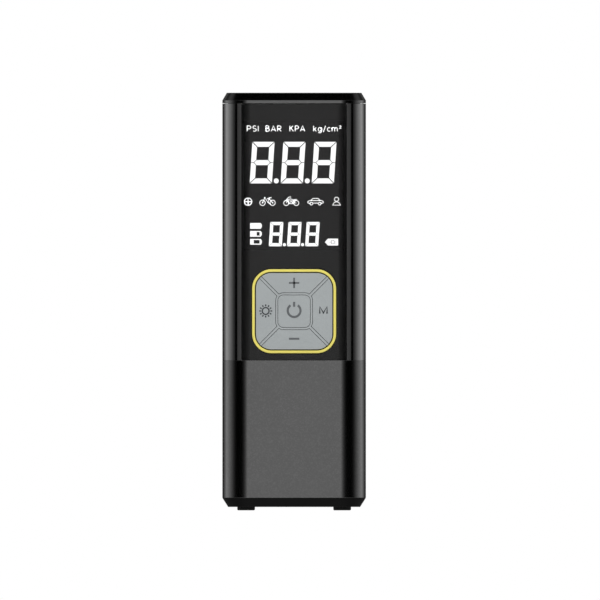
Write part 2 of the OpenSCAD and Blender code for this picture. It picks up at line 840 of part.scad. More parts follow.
module small_screws() color("#9a9a9d") {
    // control board
    at_standoffs() translate([0, board_back, 0]) rotate([-90, 0, 0])
        screw(small_r, small_l - 0.3, small_head_r, small_head_h);
    // lamp board
    for (x = [-1, 1]) translate([x * lamp_post_x, lamp_y, lamp_board_z]) mirror([0, 0, 1])
        screw(small_r, small_l - 0.3, small_head_r, small_head_h);
    // charge board
    for (x = [-1, 1]) translate([x * charge_hole_x, charge_hole_y, charge_z + charge_t])
        screw(small_r, charge_t + shelf_t - 0.3, small_head_r, small_head_h);
    // motor
    at_motor() for (x = [-1, 1]) translate([x * motor_screw_x, 0, plate_top])
        screw(small_r, plate_t + can_t, small_head_r, small_head_h);
}

module pressure_sensor() color("#d8d8d2") {
    translate([0, 0, air_z]) difference() {
        union() {
            translate([-4, board_back, -4]) cube([8, sensor_h, 8]);
            rod_y(board_back + sensor_h - eps, 4, sensor_barb_r);
        }
        rod_y(board_back + 1, 12, 0.5);
    }
}

module sensor_tube() color("#c9c9c4") {
    start = board_back + sensor_h;
    translate([0, 0, air_z]) difference() {
        rod_y(start, outlet_y - neck_r - start, sensor_tube_r);
        rod_y(start - 1, outlet_y - start, sensor_barb_r + snug);
    }
}

module lamp_lens() color("#e6eaec") {
    translate([0, lamp_y, 0]) {
        slab_z(cap_under - eps, cap_plate_t - 0.2)
            round_rect(lamp_w - 0.1, lamp_d - 0.1, lamp_d / 2 - 0.15);
        slab_z(cap_under - 1, 1)
            round_rect(lamp_w + 2 * lamp_flange, lamp_d + 2 * lamp_flange, lamp_d / 2 + lamp_flange - 0.1);
    }
}

module lamp_board() color("#e9e9e6") {
    difference() {
        slab_z(lamp_board_z, lamp_board_t) translate([0, lamp_y])
            round_rect(2 * lamp_post_x + 5, lamp_d + 2, 1.5);
        for (x = [-1, 1]) translate([x * lamp_post_x, lamp_y, lamp_board_z - 1])
            cylinder(h = lamp_board_t + 2, r = small_r + snug);
    }
}

module lamp_leds() color("#f1e7a2") {
    for (k = [-1:1]) translate([8 * k - 1.75, lamp_y - 1.75, lamp_board_z + lamp_board_t])
        cube([3.5, 3.5, 1.4]);
}

module charge_board() color("#1f5a34") {
    difference() {
        translate([-charge_w / 2, charge_y, charge_z]) cube([charge_w, in_d - 0.3 - charge_y, charge_t]);
        for (x = [-1, 1]) translate([x * charge_hole_x, charge_hole_y, charge_z - 1])
            cylinder(h = charge_t + 2, r = small_r + snug);
    }
}

module usb_c_socket() color("#c4c6c8") {
    translate([0, 0, usb_z]) {
        difference() {
            slab_y(usb_mouth - usb_l, usb_l) round_rect(usb_w, usb_h, usb_h / 2 - eps);
            slab_y(usb_mouth - usb_l + 1, usb_l)
                round_rect(usb_w - 2 * usb_wall, usb_h - 2 * usb_wall, usb_h / 2 - usb_wall - eps);
        }
        slab_y(usb_mouth - usb_l + 0.5, usb_l - 1.2) square([6.7, 0.7], center = true);
    }
}

// ---------- battery ----------

// Axes of the two cells
module at_cells() {
    for (x = [-1, 1]) translate([x * cell_pitch / 2, cell_y, 0]) children();
}

module battery_cells() color("#2f6fae") {
    at_cells() translate([0, 0, cell_z]) {
        cylinder(h = cell_h - 0.8, r = cell_d / 2);
        cylinder(h = cell_h, r = 4);
    }
}

module battery_tabs() color("#cfd0cf") {
    // link under both cells, and one tab on each cell
    slab_z(cell_z - tab_metal, tab_metal) translate([0, cell_y]) round_rect(cell_pitch + 7, 6, 1);
    at_cells() slab_z(cell_top, tab_metal) translate([0, -2]) round_rect(5.5, 10, 1);
}

module battery_holder() color("#222325") {
    plate_in = 1.8 + fit;
    difference() {
        union() {
            // bottom plate
            slab_z(floor_z, holder_t)
                round_rect(2 * (in_w - plate_in), 2 * (in_d - plate_in), corner_r - wall - plate_in);
            // columns under the tabs of the upper sleeve
            at_columns() translate([0, 0, floor_z]) cylinder(h = tab_z - floor_z, r = column_r);
            // front wall, side walls and top plate round the cells
            slab_z(floor_z, holder_top - floor_z) {
                translate([-holder_w / 2, holder_y - holder_wall]) square([holder_w, holder_wall]);
                for (x = [-1, 1]) translate([x * (holder_x + holder_wall / 2), holder_y + 6])
                    square([holder_wall, 14], center = true);
            }
            slab_z(holder_z, holder_top_t) translate([-holder_w / 2, holder_y - holder_wall])
                square([holder_w, holder_wall + cell_d + cell_clear]);
            // cups round the feet of the cells
            at_cells() translate([0, 0, floor_z])
                cylinder(h = cup_h, r = cell_d / 2 + cell_clear + cup_wall);
            // shelf of the charge board, with a web under each end
            slab_z(shelf_z, shelf_t) {
                translate([-holder_w / 2, charge_y - 0.6]) square([holder_w, 5]);
                translate([-shelf_w / 2, charge_y]) square([shelf_w, in_d - 1.6 - charge_y]);
            }
            slab_z(shelf_z - 4, shelf_t + 4) for (x = [-1, 1])
                translate([x * (holder_x + holder_wall / 2), charge_y - 1])
                    square([holder_wall, 12], center = true);
        }
        at_cells() translate([0, 0, floor_z + holder_t]) cylinder(h = cell_h - 4, r = cell_d / 2 + fit);
        // pocket of the link between the cells
        slab_z(floor_z + holder_t, 3) translate([0, cell_y]) round_rect(cell_pitch + 8, 7, 1);
        // screw holes
        at_columns() {
            translate([0, 0, floor_z - 1]) cylinder(h = screw_l, r = screw_r + snug);
            translate([0, 0, tab_z - screw_l]) cylinder(h = screw_l + 1, r = screw_r + snug);
        }
        for (x = [-1, 1]) {
            translate([x * charge_hole_x, charge_hole_y, shelf_z - 1])
                cylinder(h = shelf_t + 2, r = small_r + snug);
            translate([x * cell_pitch / 2, lead_y, holder_z - 1])
                cylinder(h = holder_top_t + 2, r = lead_hole_r);
        }
    }
}

module power_leads() color("#b3201c") {
    // from the cells to the board
    end_y = board_back + socket[3];
    end_z = seam_z + socket[1] + socket[4] / 2;
    for (side = [-1, 1]) {
        x = side * cell_pitch / 2;
        goal = [side * socket_x, end_y, end_z];
        sweep(concat([[x, lead_y, holder_z + 0.02]],
            curve([x, lead_y, holder_top + 1], [x, lead_y, holder_top + 10],
                  goal + [0, 8, 0], goal + [0, 0.5, 0], 10),
            [goal]), lead_r, 8, [1, 0.1, 0]);
    }
    // from the motor to the board
    room_y = motor_y - motor_r - board_back;
    for (side = [-1, 1]) {
        start = [crank_x + 6 * side, motor_y + 6, motor_z];
        turn = [crank_x + motor_r + 2.4, motor_y + 6 + 2 * side, motor_z + 1.5];
        goal = [turn.x + 2 + 3 * side, board_back, motor_z + 10];
        sweep(concat([start],
            curve(start - [0, 0, 0.8], start - [0, 0, 3.6], turn - [8, 0, 5.5], turn - [0.6, 0, 0.9], 8),
            curve(turn, turn + [5, 0, 7], goal + [2, 0.6 * room_y, 0], goal + [0, 0.5, 0], 10),
            [goal]), lead_r, 8, [0.3, 0.2, 1]);
    }
}

// ---------- motor ----------

// Axis of the motor
module at_motor() {
    translate([crank_x, motor_y, 0]) children();
}

module motor_can() color("#a9abad") {
    at_motor() difference() {
        union() {
            translate([0, 0, motor_z + 1]) cylinder(h = motor_h - 1, r = motor_r);
            translate([0, 0, plate_z - eps]) cylinder(h = collar_h, r = collar_r);
        }
        translate([0, 0, motor_z]) cylinder(h = motor_h - 1.2, r = motor_r - can_t);
        cylinder(h = body_h, r = shaft_d / 2 + run);
        for (x = [-1, 1]) translate([motor_screw_x * x, 0, plate_z - 3])
            cylinder(h = 4, r = small_r + snug);
    }
}

module motor_end_cap() color("#161616") {
    at_motor() difference() {
        union() {
            translate([0, 0, motor_z]) cylinder(h = 1, r = motor_r);
            translate([0, 0, motor_z + 1 - eps]) cylinder(h = 3, r = motor_r - can_t - snug);
        }
        translate([0, 0, motor_z + 1]) cylinder(h = 4, r = shaft_d / 2 + run);
    }
}

module motor_magnets() color("#3c3c3f") {
    magnet_t = 2.2;
    at_motor() for (side = [0, 180]) rotate([0, 0, side]) translate([0, 0, motor_z + 7])
        rotate_extrude(angle = 130, start = -65)
            translate([motor_r - can_t - magnet_t, 0]) square([magnet_t - snug, motor_h - 13]);
}

// Laminations with three slots, and the commutator under them
module motor_armature() color("#7a4a26") {
    core_r = motor_r - can_t - 2.6;
    slots = 3;
    at_motor() difference() {
        union() {
            translate([0, 0, motor_z + 8]) difference() {
                cylinder(h = motor_h - 15, r = core_r);
                for (k = [0:slots - 1]) rotate([0, 0, 360 / slots * k])
                    translate([core_r * 0.55, -0.9, -1]) cube([core_r, 1.8, motor_h]);
            }
            translate([0, 0, motor_z + 4.6]) cylinder(h = 4, r = 2.6);
        }
        cylinder(h = body_h, r = shaft_d / 2 + eps);
    }
}

module motor_shaft() color("#c9cbcd") {
    foot_z = motor_z + 1.4;
    at_motor() translate([0, 0, foot_z]) cylinder(h = gear_top + 0.4 - foot_z, r = shaft_d / 2);
}

// Angle that an involute has turned through at radius r
function involute_angle(r, base) =
    let (t = sqrt(max(pow(r / base, 2) - 1, 0))) t * 180 / PI - atan(t);

// Outline of a gear with involute flanks and the given pitch radius, turned so that a
// tooth's middle lies at the angle phase
function gear_outline(teeth, pitch, phase) =
    let (base = pitch * cos(20), root = pitch - dedendum, tip = pitch + addendum,
         low = max(base, root), steps = 3,
         pitch_half = 90 / teeth - backlash / pitch * 90 / PI + involute_angle(pitch, base),
         flank = concat([[root, pitch_half - involute_angle(low, base)]],
             [for (i = [0:steps]) let (r = low + (tip - low) * i / steps)
                 [r, pitch_half - involute_angle(r, base)]]))
    [for (k = [0:teeth - 1]) let (mid = phase + 360 * k / teeth) each concat(
        [for (f = flank) f[0] * [cos(mid - f[1]), sin(mid - f[1])]],
        [for (i = [len(flank) - 1:-1:0]) let (f = flank[i])
            f[0] * [cos(mid + f[1]), sin(mid + f[1])]])];

module motor_pinion() color("#b58a3a") {
    at_motor() translate([0, 0, gear_z - 0.4]) difference() {
        linear_extrude(gear_t + 0.8) polygon(gear_outline(pinion_teeth, pinion_r, -90));
        translate([0, 0, -1]) cylinder(h = gear_t + 3, r = shaft_d / 2 + eps);
    }
}

// ---------- pump ----------

// Axis of the crank
module at_crank() {
    translate([crank_x, crank_y, 0]) children();
}

// Along the cylinder's axis
module at_cylinder() {
    translate([0, crank_y, cyl_z]) children();
}

module at_head_screws() {
    for (y = [-1, 1], z = [-1, 1]) translate([0, y * head_screw_at, z * head_screw_at]) children();
}

module pump_frame() color("#b9bcbe") {
    tail_x = crank_x - gear_tip + 1;
    difference() {
        union() {
            slab_z(plate_z, plate_t) {
                // under the gear and the cylinder
                translate([tail_x, crank_y - fin_r]) square([head_end - tail_x, 2 * fin_r]);
                // over the motor
                translate([crank_x, motor_y]) circle(motor_r);
                // arms to the three mounts
                for (m = mounts) translate(m) circle(lug_r);
                arm_x = min(mounts[1].x, head_end) - lug_r;
                translate([mounts[0].x - 1, mounts[0].y]) square([lug_r + 3, crank_y - mounts[0].y]);
                translate([arm_x, crank_y]) square([mounts[1].x + 1 - arm_x, mounts[1].y - crank_y]);
                translate([mounts[2].x - lug_r, crank_y]) square([2 * lug_r, mounts[2].y - crank_y]);
            }
            // flange that carries the cylinder
            translate([flange_x, crank_y - head_half, plate_z])
                cube([frame_flange_t, 2 * head_half, cyl_z + head_half - plate_z]);
            // boss of the crank axle
            at_crank() translate([0, 0, plate_top - eps])
                cylinder(h = gear_z - 0.2 - plate_top, r = axle_boss_r);
        }
        at_cylinder() {
            rod_x(flange_x - 1, frame_flange_t + 2, spigot_r + snug);
            at_head_screws() rod_x(flange_x - 1, frame_flange_t + 2, screw_r + snug);
        }
        at_crank() translate([0, 0, plate_z - 1]) cylinder(h = gear_z - plate_z + 2, r = axle_r + eps);
        at_motor() translate([0, 0, plate_z - 1]) {
            cylinder(h = plate_t + 2, r = collar_r + snug);
            for (x = [-1, 1]) translate([motor_screw_x * x, 0, 0])
                cylinder(h = plate_t + 2, r = small_r + snug);
        }
        for (m = mounts) translate([m.x, m.y, plate_z - 1]) cylinder(h = plate_t + 2, r = isolator_r);
    }
}

module pump_isolators() color("#1b1b1b") {
    for (m = mounts) translate([m.x, m.y, plate_z - mount_gap]) difference() {
        union() {
            cylinder(h = mount_gap, r = lug_r - 0.2);
            cylinder(h = mount_gap + plate_t + isolator_top, r = isolator_r - snug);
            translate([0, 0, mount_gap + plate_t]) cylinder(h = isolator_top, r = lug_r - 0.6);
        }
        translate([0, 0, -1]) cylinder(h = mount_gap + plate_t + 4, r = screw_r + snug);
    }
}

module pump_screws() color("#8d8d90") {
    into_boss = 7;
    for (m = mounts) translate([m.x, m.y, plate_top + isolator_top])
        screw(screw_r, mount_gap + plate_t + isolator_top + into_boss, screw_head_r, screw_head_h);
}

module crank_gear() color("#e8e4d6") {
    at_crank() difference() {
        translate([0, 0, gear_z]) linear_extrude(gear_t)
            polygon(gear_outline(gear_teeth, gear_r, 90 + 180 / gear_teeth));
        translate([0, 0, gear_z - 1]) cylinder(h = gear_t + 2, r = bush_r + eps);
        translate([crank_r, 0, pin_base]) cylinder(h = gear_t, r = crank_pin_r + eps);
    }
}

module gear_bush() color("#b98a4a") {
    at_crank() translate([0, 0, gear_z - 0.1]) difference() {
        cylinder(h = gear_t + 0.2, r = bush_r);
        translate([0, 0, -1]) cylinder(h = gear_t + 3, r = axle_r + run);
    }
}

module crank_axle() color("#d0d2d4") {
    at_crank() {
        translate([0, 0, plate_z]) cylinder(h = gear_top + 0.2 - plate_z + eps, r = axle_r);
        translate([0, 0, gear_top + 0.2]) cylinder(h = axle_head_h, r = axle_head_r);
    }
}

module crank_pin() color("#d0d2d4") {
    at_crank() translate([crank_r, 0, pin_base]) cylinder(h = pin_top - pin_base, r = crank_pin_r);
}

module connecting_rod() color("#cfc9b4") {
    big_x = pin_x - rod_l;
    shank_w = 3.4;
    at_cylinder() difference() {
        union() {
            translate([big_x, 0, -rod_t / 2]) cylinder(h = rod_t, r = big_eye_r);
            translate([pin_x, 0, -rod_t / 2]) cylinder(h = rod_t, r = eye_r);
            translate([big_x, -shank_w / 2, -rod_t / 2]) cube([rod_l, shank_w, rod_t]);
        }
        translate([big_x, 0, -rod_t]) cylinder(h = 2 * rod_t, r = crank_pin_r + run);
        translate([pin_x, 0, -rod_t]) cylinder(h = 2 * rod_t, r = wrist_r + run);
    }
}

module piston() color("#a7b0b8") {
    inlet_at = 2.4;
    inlet_r = 0.7;
    at_cylinder() difference() {
        rod_x(skirt_x, crown_x - skirt_x, piston_r);
        rod_x(skirt_x - 1, crown_x - crown_t - skirt_x + 1, piston_in_r);
        // groove of the ring
        difference() {
            rod_x(ring_x, ring_t, piston_r + 1);
            rod_x(ring_x - 1, ring_t + 2, groove_r);
        }
        translate([pin_x, 0, -bore_r]) cylinder(h = 2 * bore_r, r = wrist_r + eps);
        // inlet holes under the flap
        for (k = [0:2]) rotate([120 * k, 0, 0]) translate([0, 0, inlet_at])
            rod_x(pin_x, 2 * crown_t + eye_r, inlet_r);
    }
}

module piston_ring() color("#ece9df") {
    at_cylinder() difference() {
        rod_x(ring_x + snug, ring_t - 2 * snug, bore_r - run);
        rod_x(ring_x - 1, ring_t + 2, groove_r + snug);
    }
}

module wrist_pin() color("#d0d2d4") {
    inset = 0.4;
    at_cylinder() translate([pin_x, 0, inset - piston_r])
        cylinder(h = 2 * (piston_r - inset), r = wrist_r);
}

module intake_flap() color("#30363a") {
    at_cylinder() rod_x(crown_x, flap_t, 4);
}

module pump_cylinder() color("#9da2a6") {
    fin_t = 1;
    fin_pitch = 2.4;
    barrel_x = flange_x + frame_flange_t;
    at_cylinder() difference() {
        union() {
            rod_x(flange_x, cyl_end - flange_x, spigot_r);
            rod_x(barrel_x, cyl_end - barrel_x, barrel_r);
            for (x = [barrel_x + 0.8:fin_pitch:cyl_end - fin_t - 0.2]) rod_x(x, fin_t, fin_r);
        }
        rod_x(flange_x - 1, cyl_end - flange_x + 2, bore_r);
    }
}

module head_gasket() color("#2c2c2c") {
    at_cylinder() difference() {
        rod_x(cyl_end, gasket_t, barrel_r);
        rod_x(cyl_end - 1, gasket_t + 2, bore_r + 0.2);
    }
}

module cylinder_head() color("#9da2a6") {
    difference() {
        at_cylinder() translate([head_x, 0, 0]) rotate([90, 0, 90]) linear_extrude(head_t)
            round_rect(2 * head_half, 2 * head_half, 2);
        at_cylinder() {
            rod_x(head_x - 1, valve_x - head_x + 1, port_r);
            at_head_screws() {
                rod_x(head_x - 1, head_t + 2, screw_r + snug);
                rod_x(head_seat_x, 3, screw_head_r + 0.1);
            }
        }
        translate([valve_x, crank_y, cyl_z]) cylinder(h = head_half, r = port_r);
        translate([valve_x, crank_y, seat_z]) cylinder(h = head_half, r = valve_r);
    }
}

module head_screws() color("#8d8d90") {
    at_cylinder() at_head_screws() translate([head_seat_x, 0, 0]) rotate([0, 90, 0])
        screw(screw_r, head_seat_x - flange_x - 0.4, screw_head_r, screw_head_h);
}

module valve_disc() color("#22262a") {
    translate([valve_x, crank_y, seat_z]) cylinder(h = disc_t, r = valve_r - 0.3);
}

module valve_spring() color("#c8cacc") {
    wire = 0.22;
    coil_r = 1.5;
    turns = 4;
    low = seat_z + disc_t + wire;
    high = plug_z - wire;
    steps = 12 * turns;
    translate([valve_x, crank_y, 0])
        sweep([for (i = [0:steps]) let (a = 360 * turns * i / steps)
            [coil_r * cos(a), coil_r * sin(a), low + (high - low) * i / steps]], wire, 6, [0, 0, 1]);
}

module valve_nipple() color("#c9a24f") {
    translate([valve_x, crank_y, 0]) difference() {
        union() {
            translate([0, 0, plug_z]) cylinder(h = plug_h, r = valve_r - snug);
            translate([0, 0, head_top]) cylinder(h = hex_h, r = 3.5, $fn = 6);
            translate([0, 0, head_top + hex_h - eps]) cylinder(h = barb_l, r = barb_r);
        }
        translate([0, 0, plug_z - 1]) cylinder(h = plug_h + hex_h + barb_l + 2, r = air_r);
    }
}

module air_tube() color("#dcdcd6") {
    start = [valve_x, crank_y, head_top + hex_h];
    stop = [neck_r, outlet_y, air_z];
    straight = 4.6;
    handle = straight + 5.5;
    path = concat([start], curve(start + [0, 0, straight], start + [0, 0, handle],
        stop + [handle, 0, 0], stop + [straight, 0, 0], 12), [stop]);
    inner = concat([start - [0, 0, 1]], [for (i = [1:len(path) - 2]) path[i]], [stop - [1, 0, 0]]);
    difference() {
        sweep(path, tube_r, 16, [0.1, 1, 0]);
        sweep(inner, barb_r + snug, 16, [0.1, 1, 0]);
    }
}

module outlet_fitting() color("#c9a24f") {
    difference() {
        union() {
            translate([0, outlet_y, shoulder_z - shoulder_h]) cylinder(h = shoulder_h, r = shoulder_r);
            translate([0, outlet_y, fitting_z]) cylinder(h = shoulder_z - fitting_z - 0.2, r = neck_r);
            translate([0, outlet_y, air_z]) {
                rod_x(neck_r - 1, barb_l, barb_r);
                rod_y(-neck_r - 3.5, barb_l, sensor_barb_r);
            }
        }
        translate([0, outlet_y, shoulder_z - thread_h]) cylinder(h = thread_h + 1, r = outlet_r);
        translate([0, outlet_y, air_z]) {
            cylinder(h = 12, r = 1.5);
            rod_x(0, neck_r + 6, 0.8);
            rod_y(-neck_r - 5, neck_r + 5, 0.5);
        }
    }
}

module outlet_nut() color("#b9bcbe") {
    translate([0, outlet_y, cap_under - 3]) difference() {
        cylinder(h = 3, r = 8, $fn = 6);
        translate([0, 0, -1]) cylinder(h = 5, r = neck_r + snug);
    }
}

// ---------- the assembly ----------

lower_sleeve();
upper_sleeve();
top_cap();
base_cap();
feet();
case_screws();
lens_panel();
display_housing();
display_segments();
keypad_bezel();
key_frame();
key_plus();
key_minus();
key_light();
key_mode();
key_power();
key_membrane();
key_switches();
control_board();
board_parts();
small_screws();
pressure_sensor();
sensor_tube();
lamp_lens();
lamp_board();
lamp_leds();
charge_board();
usb_c_socket();
battery_cells();
battery_tabs();
battery_holder();
power_leads();
motor_can();
motor_end_cap();
motor_magnets();
motor_armature();
motor_shaft();
motor_pinion();
pump_frame();
pump_isolators();
pump_screws();
crank_gear();
gear_bush();
crank_axle();
crank_pin();
connecting_rod();
piston();
piston_ring();
wrist_pin();
intake_flap();
pump_cylinder();
head_gasket();
cylinder_head();
head_screws();
valve_disc();
valve_spring();
valve_nipple();
air_tube();
outlet_fitting();
outlet_nut();
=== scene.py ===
import bmesh
import bpy
import numpy as np
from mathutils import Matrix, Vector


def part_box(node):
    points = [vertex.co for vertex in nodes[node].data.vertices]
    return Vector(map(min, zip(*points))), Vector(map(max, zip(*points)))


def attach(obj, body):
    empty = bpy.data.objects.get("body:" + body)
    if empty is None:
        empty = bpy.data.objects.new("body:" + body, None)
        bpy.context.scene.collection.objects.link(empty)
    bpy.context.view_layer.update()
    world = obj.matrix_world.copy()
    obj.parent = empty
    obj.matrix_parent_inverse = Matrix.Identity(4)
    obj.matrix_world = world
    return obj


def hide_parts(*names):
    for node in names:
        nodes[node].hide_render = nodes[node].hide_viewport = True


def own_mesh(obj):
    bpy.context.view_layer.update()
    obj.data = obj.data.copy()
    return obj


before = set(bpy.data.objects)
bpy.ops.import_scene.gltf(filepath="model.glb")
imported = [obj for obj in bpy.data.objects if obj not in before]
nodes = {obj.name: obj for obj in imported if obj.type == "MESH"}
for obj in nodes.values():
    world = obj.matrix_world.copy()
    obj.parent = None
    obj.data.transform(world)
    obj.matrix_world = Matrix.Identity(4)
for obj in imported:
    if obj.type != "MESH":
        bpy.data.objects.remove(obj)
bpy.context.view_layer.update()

# ---------- lower sleeve ----------
# The battery's half of the case: a thin-walled ABS tube, square with round corners. It is
# injection moulded, then sprayed with a dark metallic lacquer that dries to a satin skin.
MM = 0.001


def linear(code):
    """sRGB hex to linear RGBA: c / 12.92 up to 0.04045, above it ((c + 0.055) / 1.055) ^ 2.4."""
    srgb = np.array([int(code[i : i + 2], 16) for i in (1, 3, 5)]) / 255
    rgb = np.where(srgb <= 0.04045, srgb / 12.92, ((srgb + 0.055) / 1.055) ** 2.4)
    return (*rgb.tolist(), 1.0)


def add(material, kind, inputs, **settings):
    """Adds one node with its settings, and sets or links its inputs, by name or number."""
    made = material.node_tree.nodes.new("ShaderNode" + kind)
    for key, value in settings.items():
        setattr(made, key, value)
    for key, value in inputs.items():
        if isinstance(value, bpy.types.NodeSocket):
            material.node_tree.links.new(value, made.inputs[key])
        else:
            made.inputs[key].default_value = value
    return made


def finish(name, colour, roughness, grain, relief, shade=0.05, polish=0.04, along=(1, 1, 1), **more):
    """A surface with two noises on Object coordinates. The fine one is grain mm across and stands relief
    mm high. The slow one, 20 grains and at least 12 mm across, moves the roughness by polish. Their sum
    moves the colour by shade. along squeezes both, so that they run along an axis. more sets sockets."""
    material = bpy.data.materials.new(name)
    material.use_nodes = True
    material.node_tree.nodes.clear()
    place = add(material, "TexCoord", {}).outputs["Object"]
    place = add(material, "Mapping", {"Vector": place, "Scale": along}).outputs[0]
    fine, slow = (
        add(material, "TexNoise", {"Vector": place, "Scale": 1 / (size * MM), "Detail": 3.0}).outputs["Fac"]
        for size in (grain, max(20 * grain, 12))
    )
    both = add(material, "Math", {0: fine, 1: slow}, operation="ADD").outputs[0]
    spread = add(material, "MapRange", {0: both, 1: 0.75, 2: 1.25}).outputs[0]
    tone = np.array(linear(colour)[:3])
    dark, light = ((*np.clip(tone * (1 + side * shade), 0, 1).tolist(), 1.0) for side in (-1, 1))
    tint = add(material, "Mix", {0: spread, 6: dark, 7: light}, data_type="RGBA").outputs[2]
    low, high = max(roughness - polish, 0.02), roughness + polish
    rub = add(material, "MapRange", {0: slow, 1: 0.3, 2: 0.7, 3: low, 4: high}).outputs[0]
    bump = add(material, "Bump", {"Height": fine, "Distance": relief * MM}).outputs[0]
    shader = {"Base Color": tint, "Roughness": rub, "Normal": bump, **more}
    shader = add(material, "BsdfPrincipled", shader)
    add(material, "OutputMaterial", {"Surface": shader.outputs[0]})
    return material


def lay_over(material, mask, relief=0, **over):
    """A second finish on top of a material: each socket named in over goes to its new value in a
    straight mix by mask, and the surface stands relief mm higher where mask is 1."""
    links = material.node_tree.links
    shader = next(node for node in material.node_tree.nodes if node.type == "BSDF_PRINCIPLED")
    for name, value in over.items():
        socket = shader.inputs[name.replace("_", " ")]
        under = socket.links[0].from_socket if socket.is_linked else socket.default_value
        if socket.type == "RGBA":
            mix = add(material, "Mix", {0: mask, 6: under, 7: linear(value)}, data_type="RGBA")
        else:
            mix = add(material, "Mix", {0: mask, 2: under, 3: value})
        links.new(mix.outputs[2 if socket.type == "RGBA" else 0], socket)
    if relief:
        normal = shader.inputs["Normal"]
        raised = {"Height": mask, "Distance": relief * MM, "Normal": normal.links[0].from_socket}
        links.new(add(material, "Bump", raised).outputs[0], normal)
    return material


def worn(material, width, colour, roughness, share=0.6):
    """Edges rubbed by hands and cloth. The mask is how far the normal, rounded over width mm, turns from
    the true one, times a noise 2.5 mm across that breaks it up. There the worn colour and roughness
    come in by share."""
    soft = add(material, "Bevel", {"Radius": width * MM}, samples=4).outputs[0]
    true = add(material, "NewGeometry", {}).outputs["Normal"]
    turn = add(material, "VectorMath", {0: soft, 1: true}, operation="DOT_PRODUCT").outputs["Value"]
    edge = add(material, "MapRange", {0: turn, 1: 1.0, 2: 0.93, 3: 0.0, 4: share}).outputs[0]
    place = add(material, "TexCoord", {}).outputs["Object"]
    patch = add(material, "TexNoise", {"Vector": place, "Scale": 1 / (2.5 * MM), "Detail": 3.0})
    patch = add(material, "MapRange", {0: patch.outputs["Fac"], 1: 0.35, 2: 0.6}).outputs[0]
    mask = add(material, "Math", {0: edge, 1: patch}, operation="MULTIPLY").outputs[0]
    return lay_over(material, mask, Base_Color=colour, Roughness=roughness)


def lacquered(name, colour, roughness):
    """Metallic lacquer: aluminium flakes in a smoky binder, even from the front and quick to darken as it
    turns away. Real flakes are 0.03 mm, drawn at 0.4 mm to show. A wave 5 mm long is the spray's skin."""
    paint = finish(name, colour, roughness, 5.0, 0.002, shade=0.02, polish=0.015, Metallic=1.0)
    place = add(paint, "TexCoord", {}).outputs["Object"]
    flake = add(paint, "TexVoronoi", {"Vector": place, "Scale": 1 / (0.4 * MM)}).outputs["Color"]
    flake = add(paint, "SeparateColor", {0: flake}).outputs[0]
    bright = add(paint, "MapRange", {0: flake, 1: 0.5, 2: 1.0, 3: 0.0, 4: 0.09}).outputs[0]
    lay_over(paint, bright, Base_Color="#b0b0b0")
    # The lighter edges are partly paint rubbed thin and partly a painted highlight: a thin bright line along
    # every edge.
    return worn(paint, 0.3, "#a9a9a9", 0.12, 0.4)


def eased(name, width, material, body="case"):
    """A copy of a CAD node, with its triangles merged, its flat faces joined and its edges rounded."""
    mesh = nodes[name].data.copy()
    for attribute in [a for a in mesh.attributes if "normal" in a.name]:
        mesh.attributes.remove(attribute)
    work = bmesh.new()
    work.from_mesh(mesh)
    bmesh.ops.remove_doubles(work, verts=work.verts, dist=1e-6)
    bmesh.ops.dissolve_limit(work, angle_limit=np.radians(0.5), verts=work.verts, edges=work.edges)
    work.to_mesh(mesh)
    work.free()
    mesh.shade_smooth()
    mesh.materials.clear()
    mesh.materials.append(material)
    made = bpy.data.objects.new(name + "_eased", mesh)
    bpy.context.scene.collection.objects.link(made)
    edge = made.modifiers.new("eased", "BEVEL")
    edge.width, edge.segments = width * MM, 3
    edge.limit_method, edge.angle_limit = "ANGLE", np.radians(25)
    made.modifiers.new("even", "WEIGHTED_NORMAL").keep_sharp = True
    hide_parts(name)
    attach(made, body)
    return made


eased("lower_sleeve", 0.12, lacquered("satin_lacquer_sprayed", "#6c6c6c", 0.17))

# ---------- base cap and feet ----------
# The bottom is a moulded ABS plug in bare satin black, held by four long screws. Each screw's
# head hides under a rubber foot that is pressed into the plug.


def dress(material, *names):
    """Gives CAD nodes a material in every slot that they have."""
    for name in names:
        for slot in nodes[name].material_slots:
            slot.material = material


# ABS from an etched tool: deep black with a low sheen, and a grey rub where it is set down.
etched = finish("black_abs_etched", "#030303", 0.42, 0.35, 0.006, **{"Specular IOR Level": 0.2})
worn(etched, 0.4, "#161616", 0.3, 0.5)
eased("base_cap", 0.15, etched)
# Nitrile rubber, moulded: dull black, with dust on the lowest 0.4 mm that stands on the ground.
rubber = finish("nitrile_rubber_moulded", "#0b0b0b", 0.65, 0.5, 0.01, shade=0.15)
worn(rubber, 0.3, "#242424", 0.75)
ground = add(rubber, "TexCoord", {}).outputs["Object"]
ground = add(rubber, "SeparateXYZ", {0: ground}).outputs["Z"]
ground = add(rubber, "MapRange", {0: ground, 1: 0.4 * MM, 2: 0.0, 3: 0.0, 4: 0.5}).outputs[0]
lay_over(rubber, ground, Base_Color="#4d4a45", Roughness=0.9)
eased("feet", 0.3, rubber)
dress(rubber, "pump_isolators", "head_gasket", "valve_disc")
# Zinc-plated steel, cold headed: pale, with a faint straw and blue film, and grey bruises at the edges.
plated = finish("steel_zinc_plated", "#b4b6ba", 0.28, 0.2, 0.002, shade=0.08, Metallic=1.0)
film = add(plated, "TexCoord", {}).outputs["Object"]
film = add(plated, "TexNoise", {"Vector": film, "Scale": 1 / (3 * MM)}).outputs["Fac"]
film = add(plated, "MapRange", {0: film, 1: 0.45, 2: 0.7, 3: 0.0, 4: 0.5}).outputs[0]
lay_over(plated, film, Base_Color="#b9b49a")
worn(plated, 0.15, "#8d8f93", 0.4)
dress(plated, "case_screws", "small_screws", "pump_screws", "head_screws", "outlet_nut")

# ---------- battery ----------
# Two lithium cells stand side by side in a nylon holder. Each is a steel can in a blue PVC
# sleeve that was shrunk on, and nickel strips are spot welded to their ends.
CELL_X, CELL_Y = 9.5, 3.0
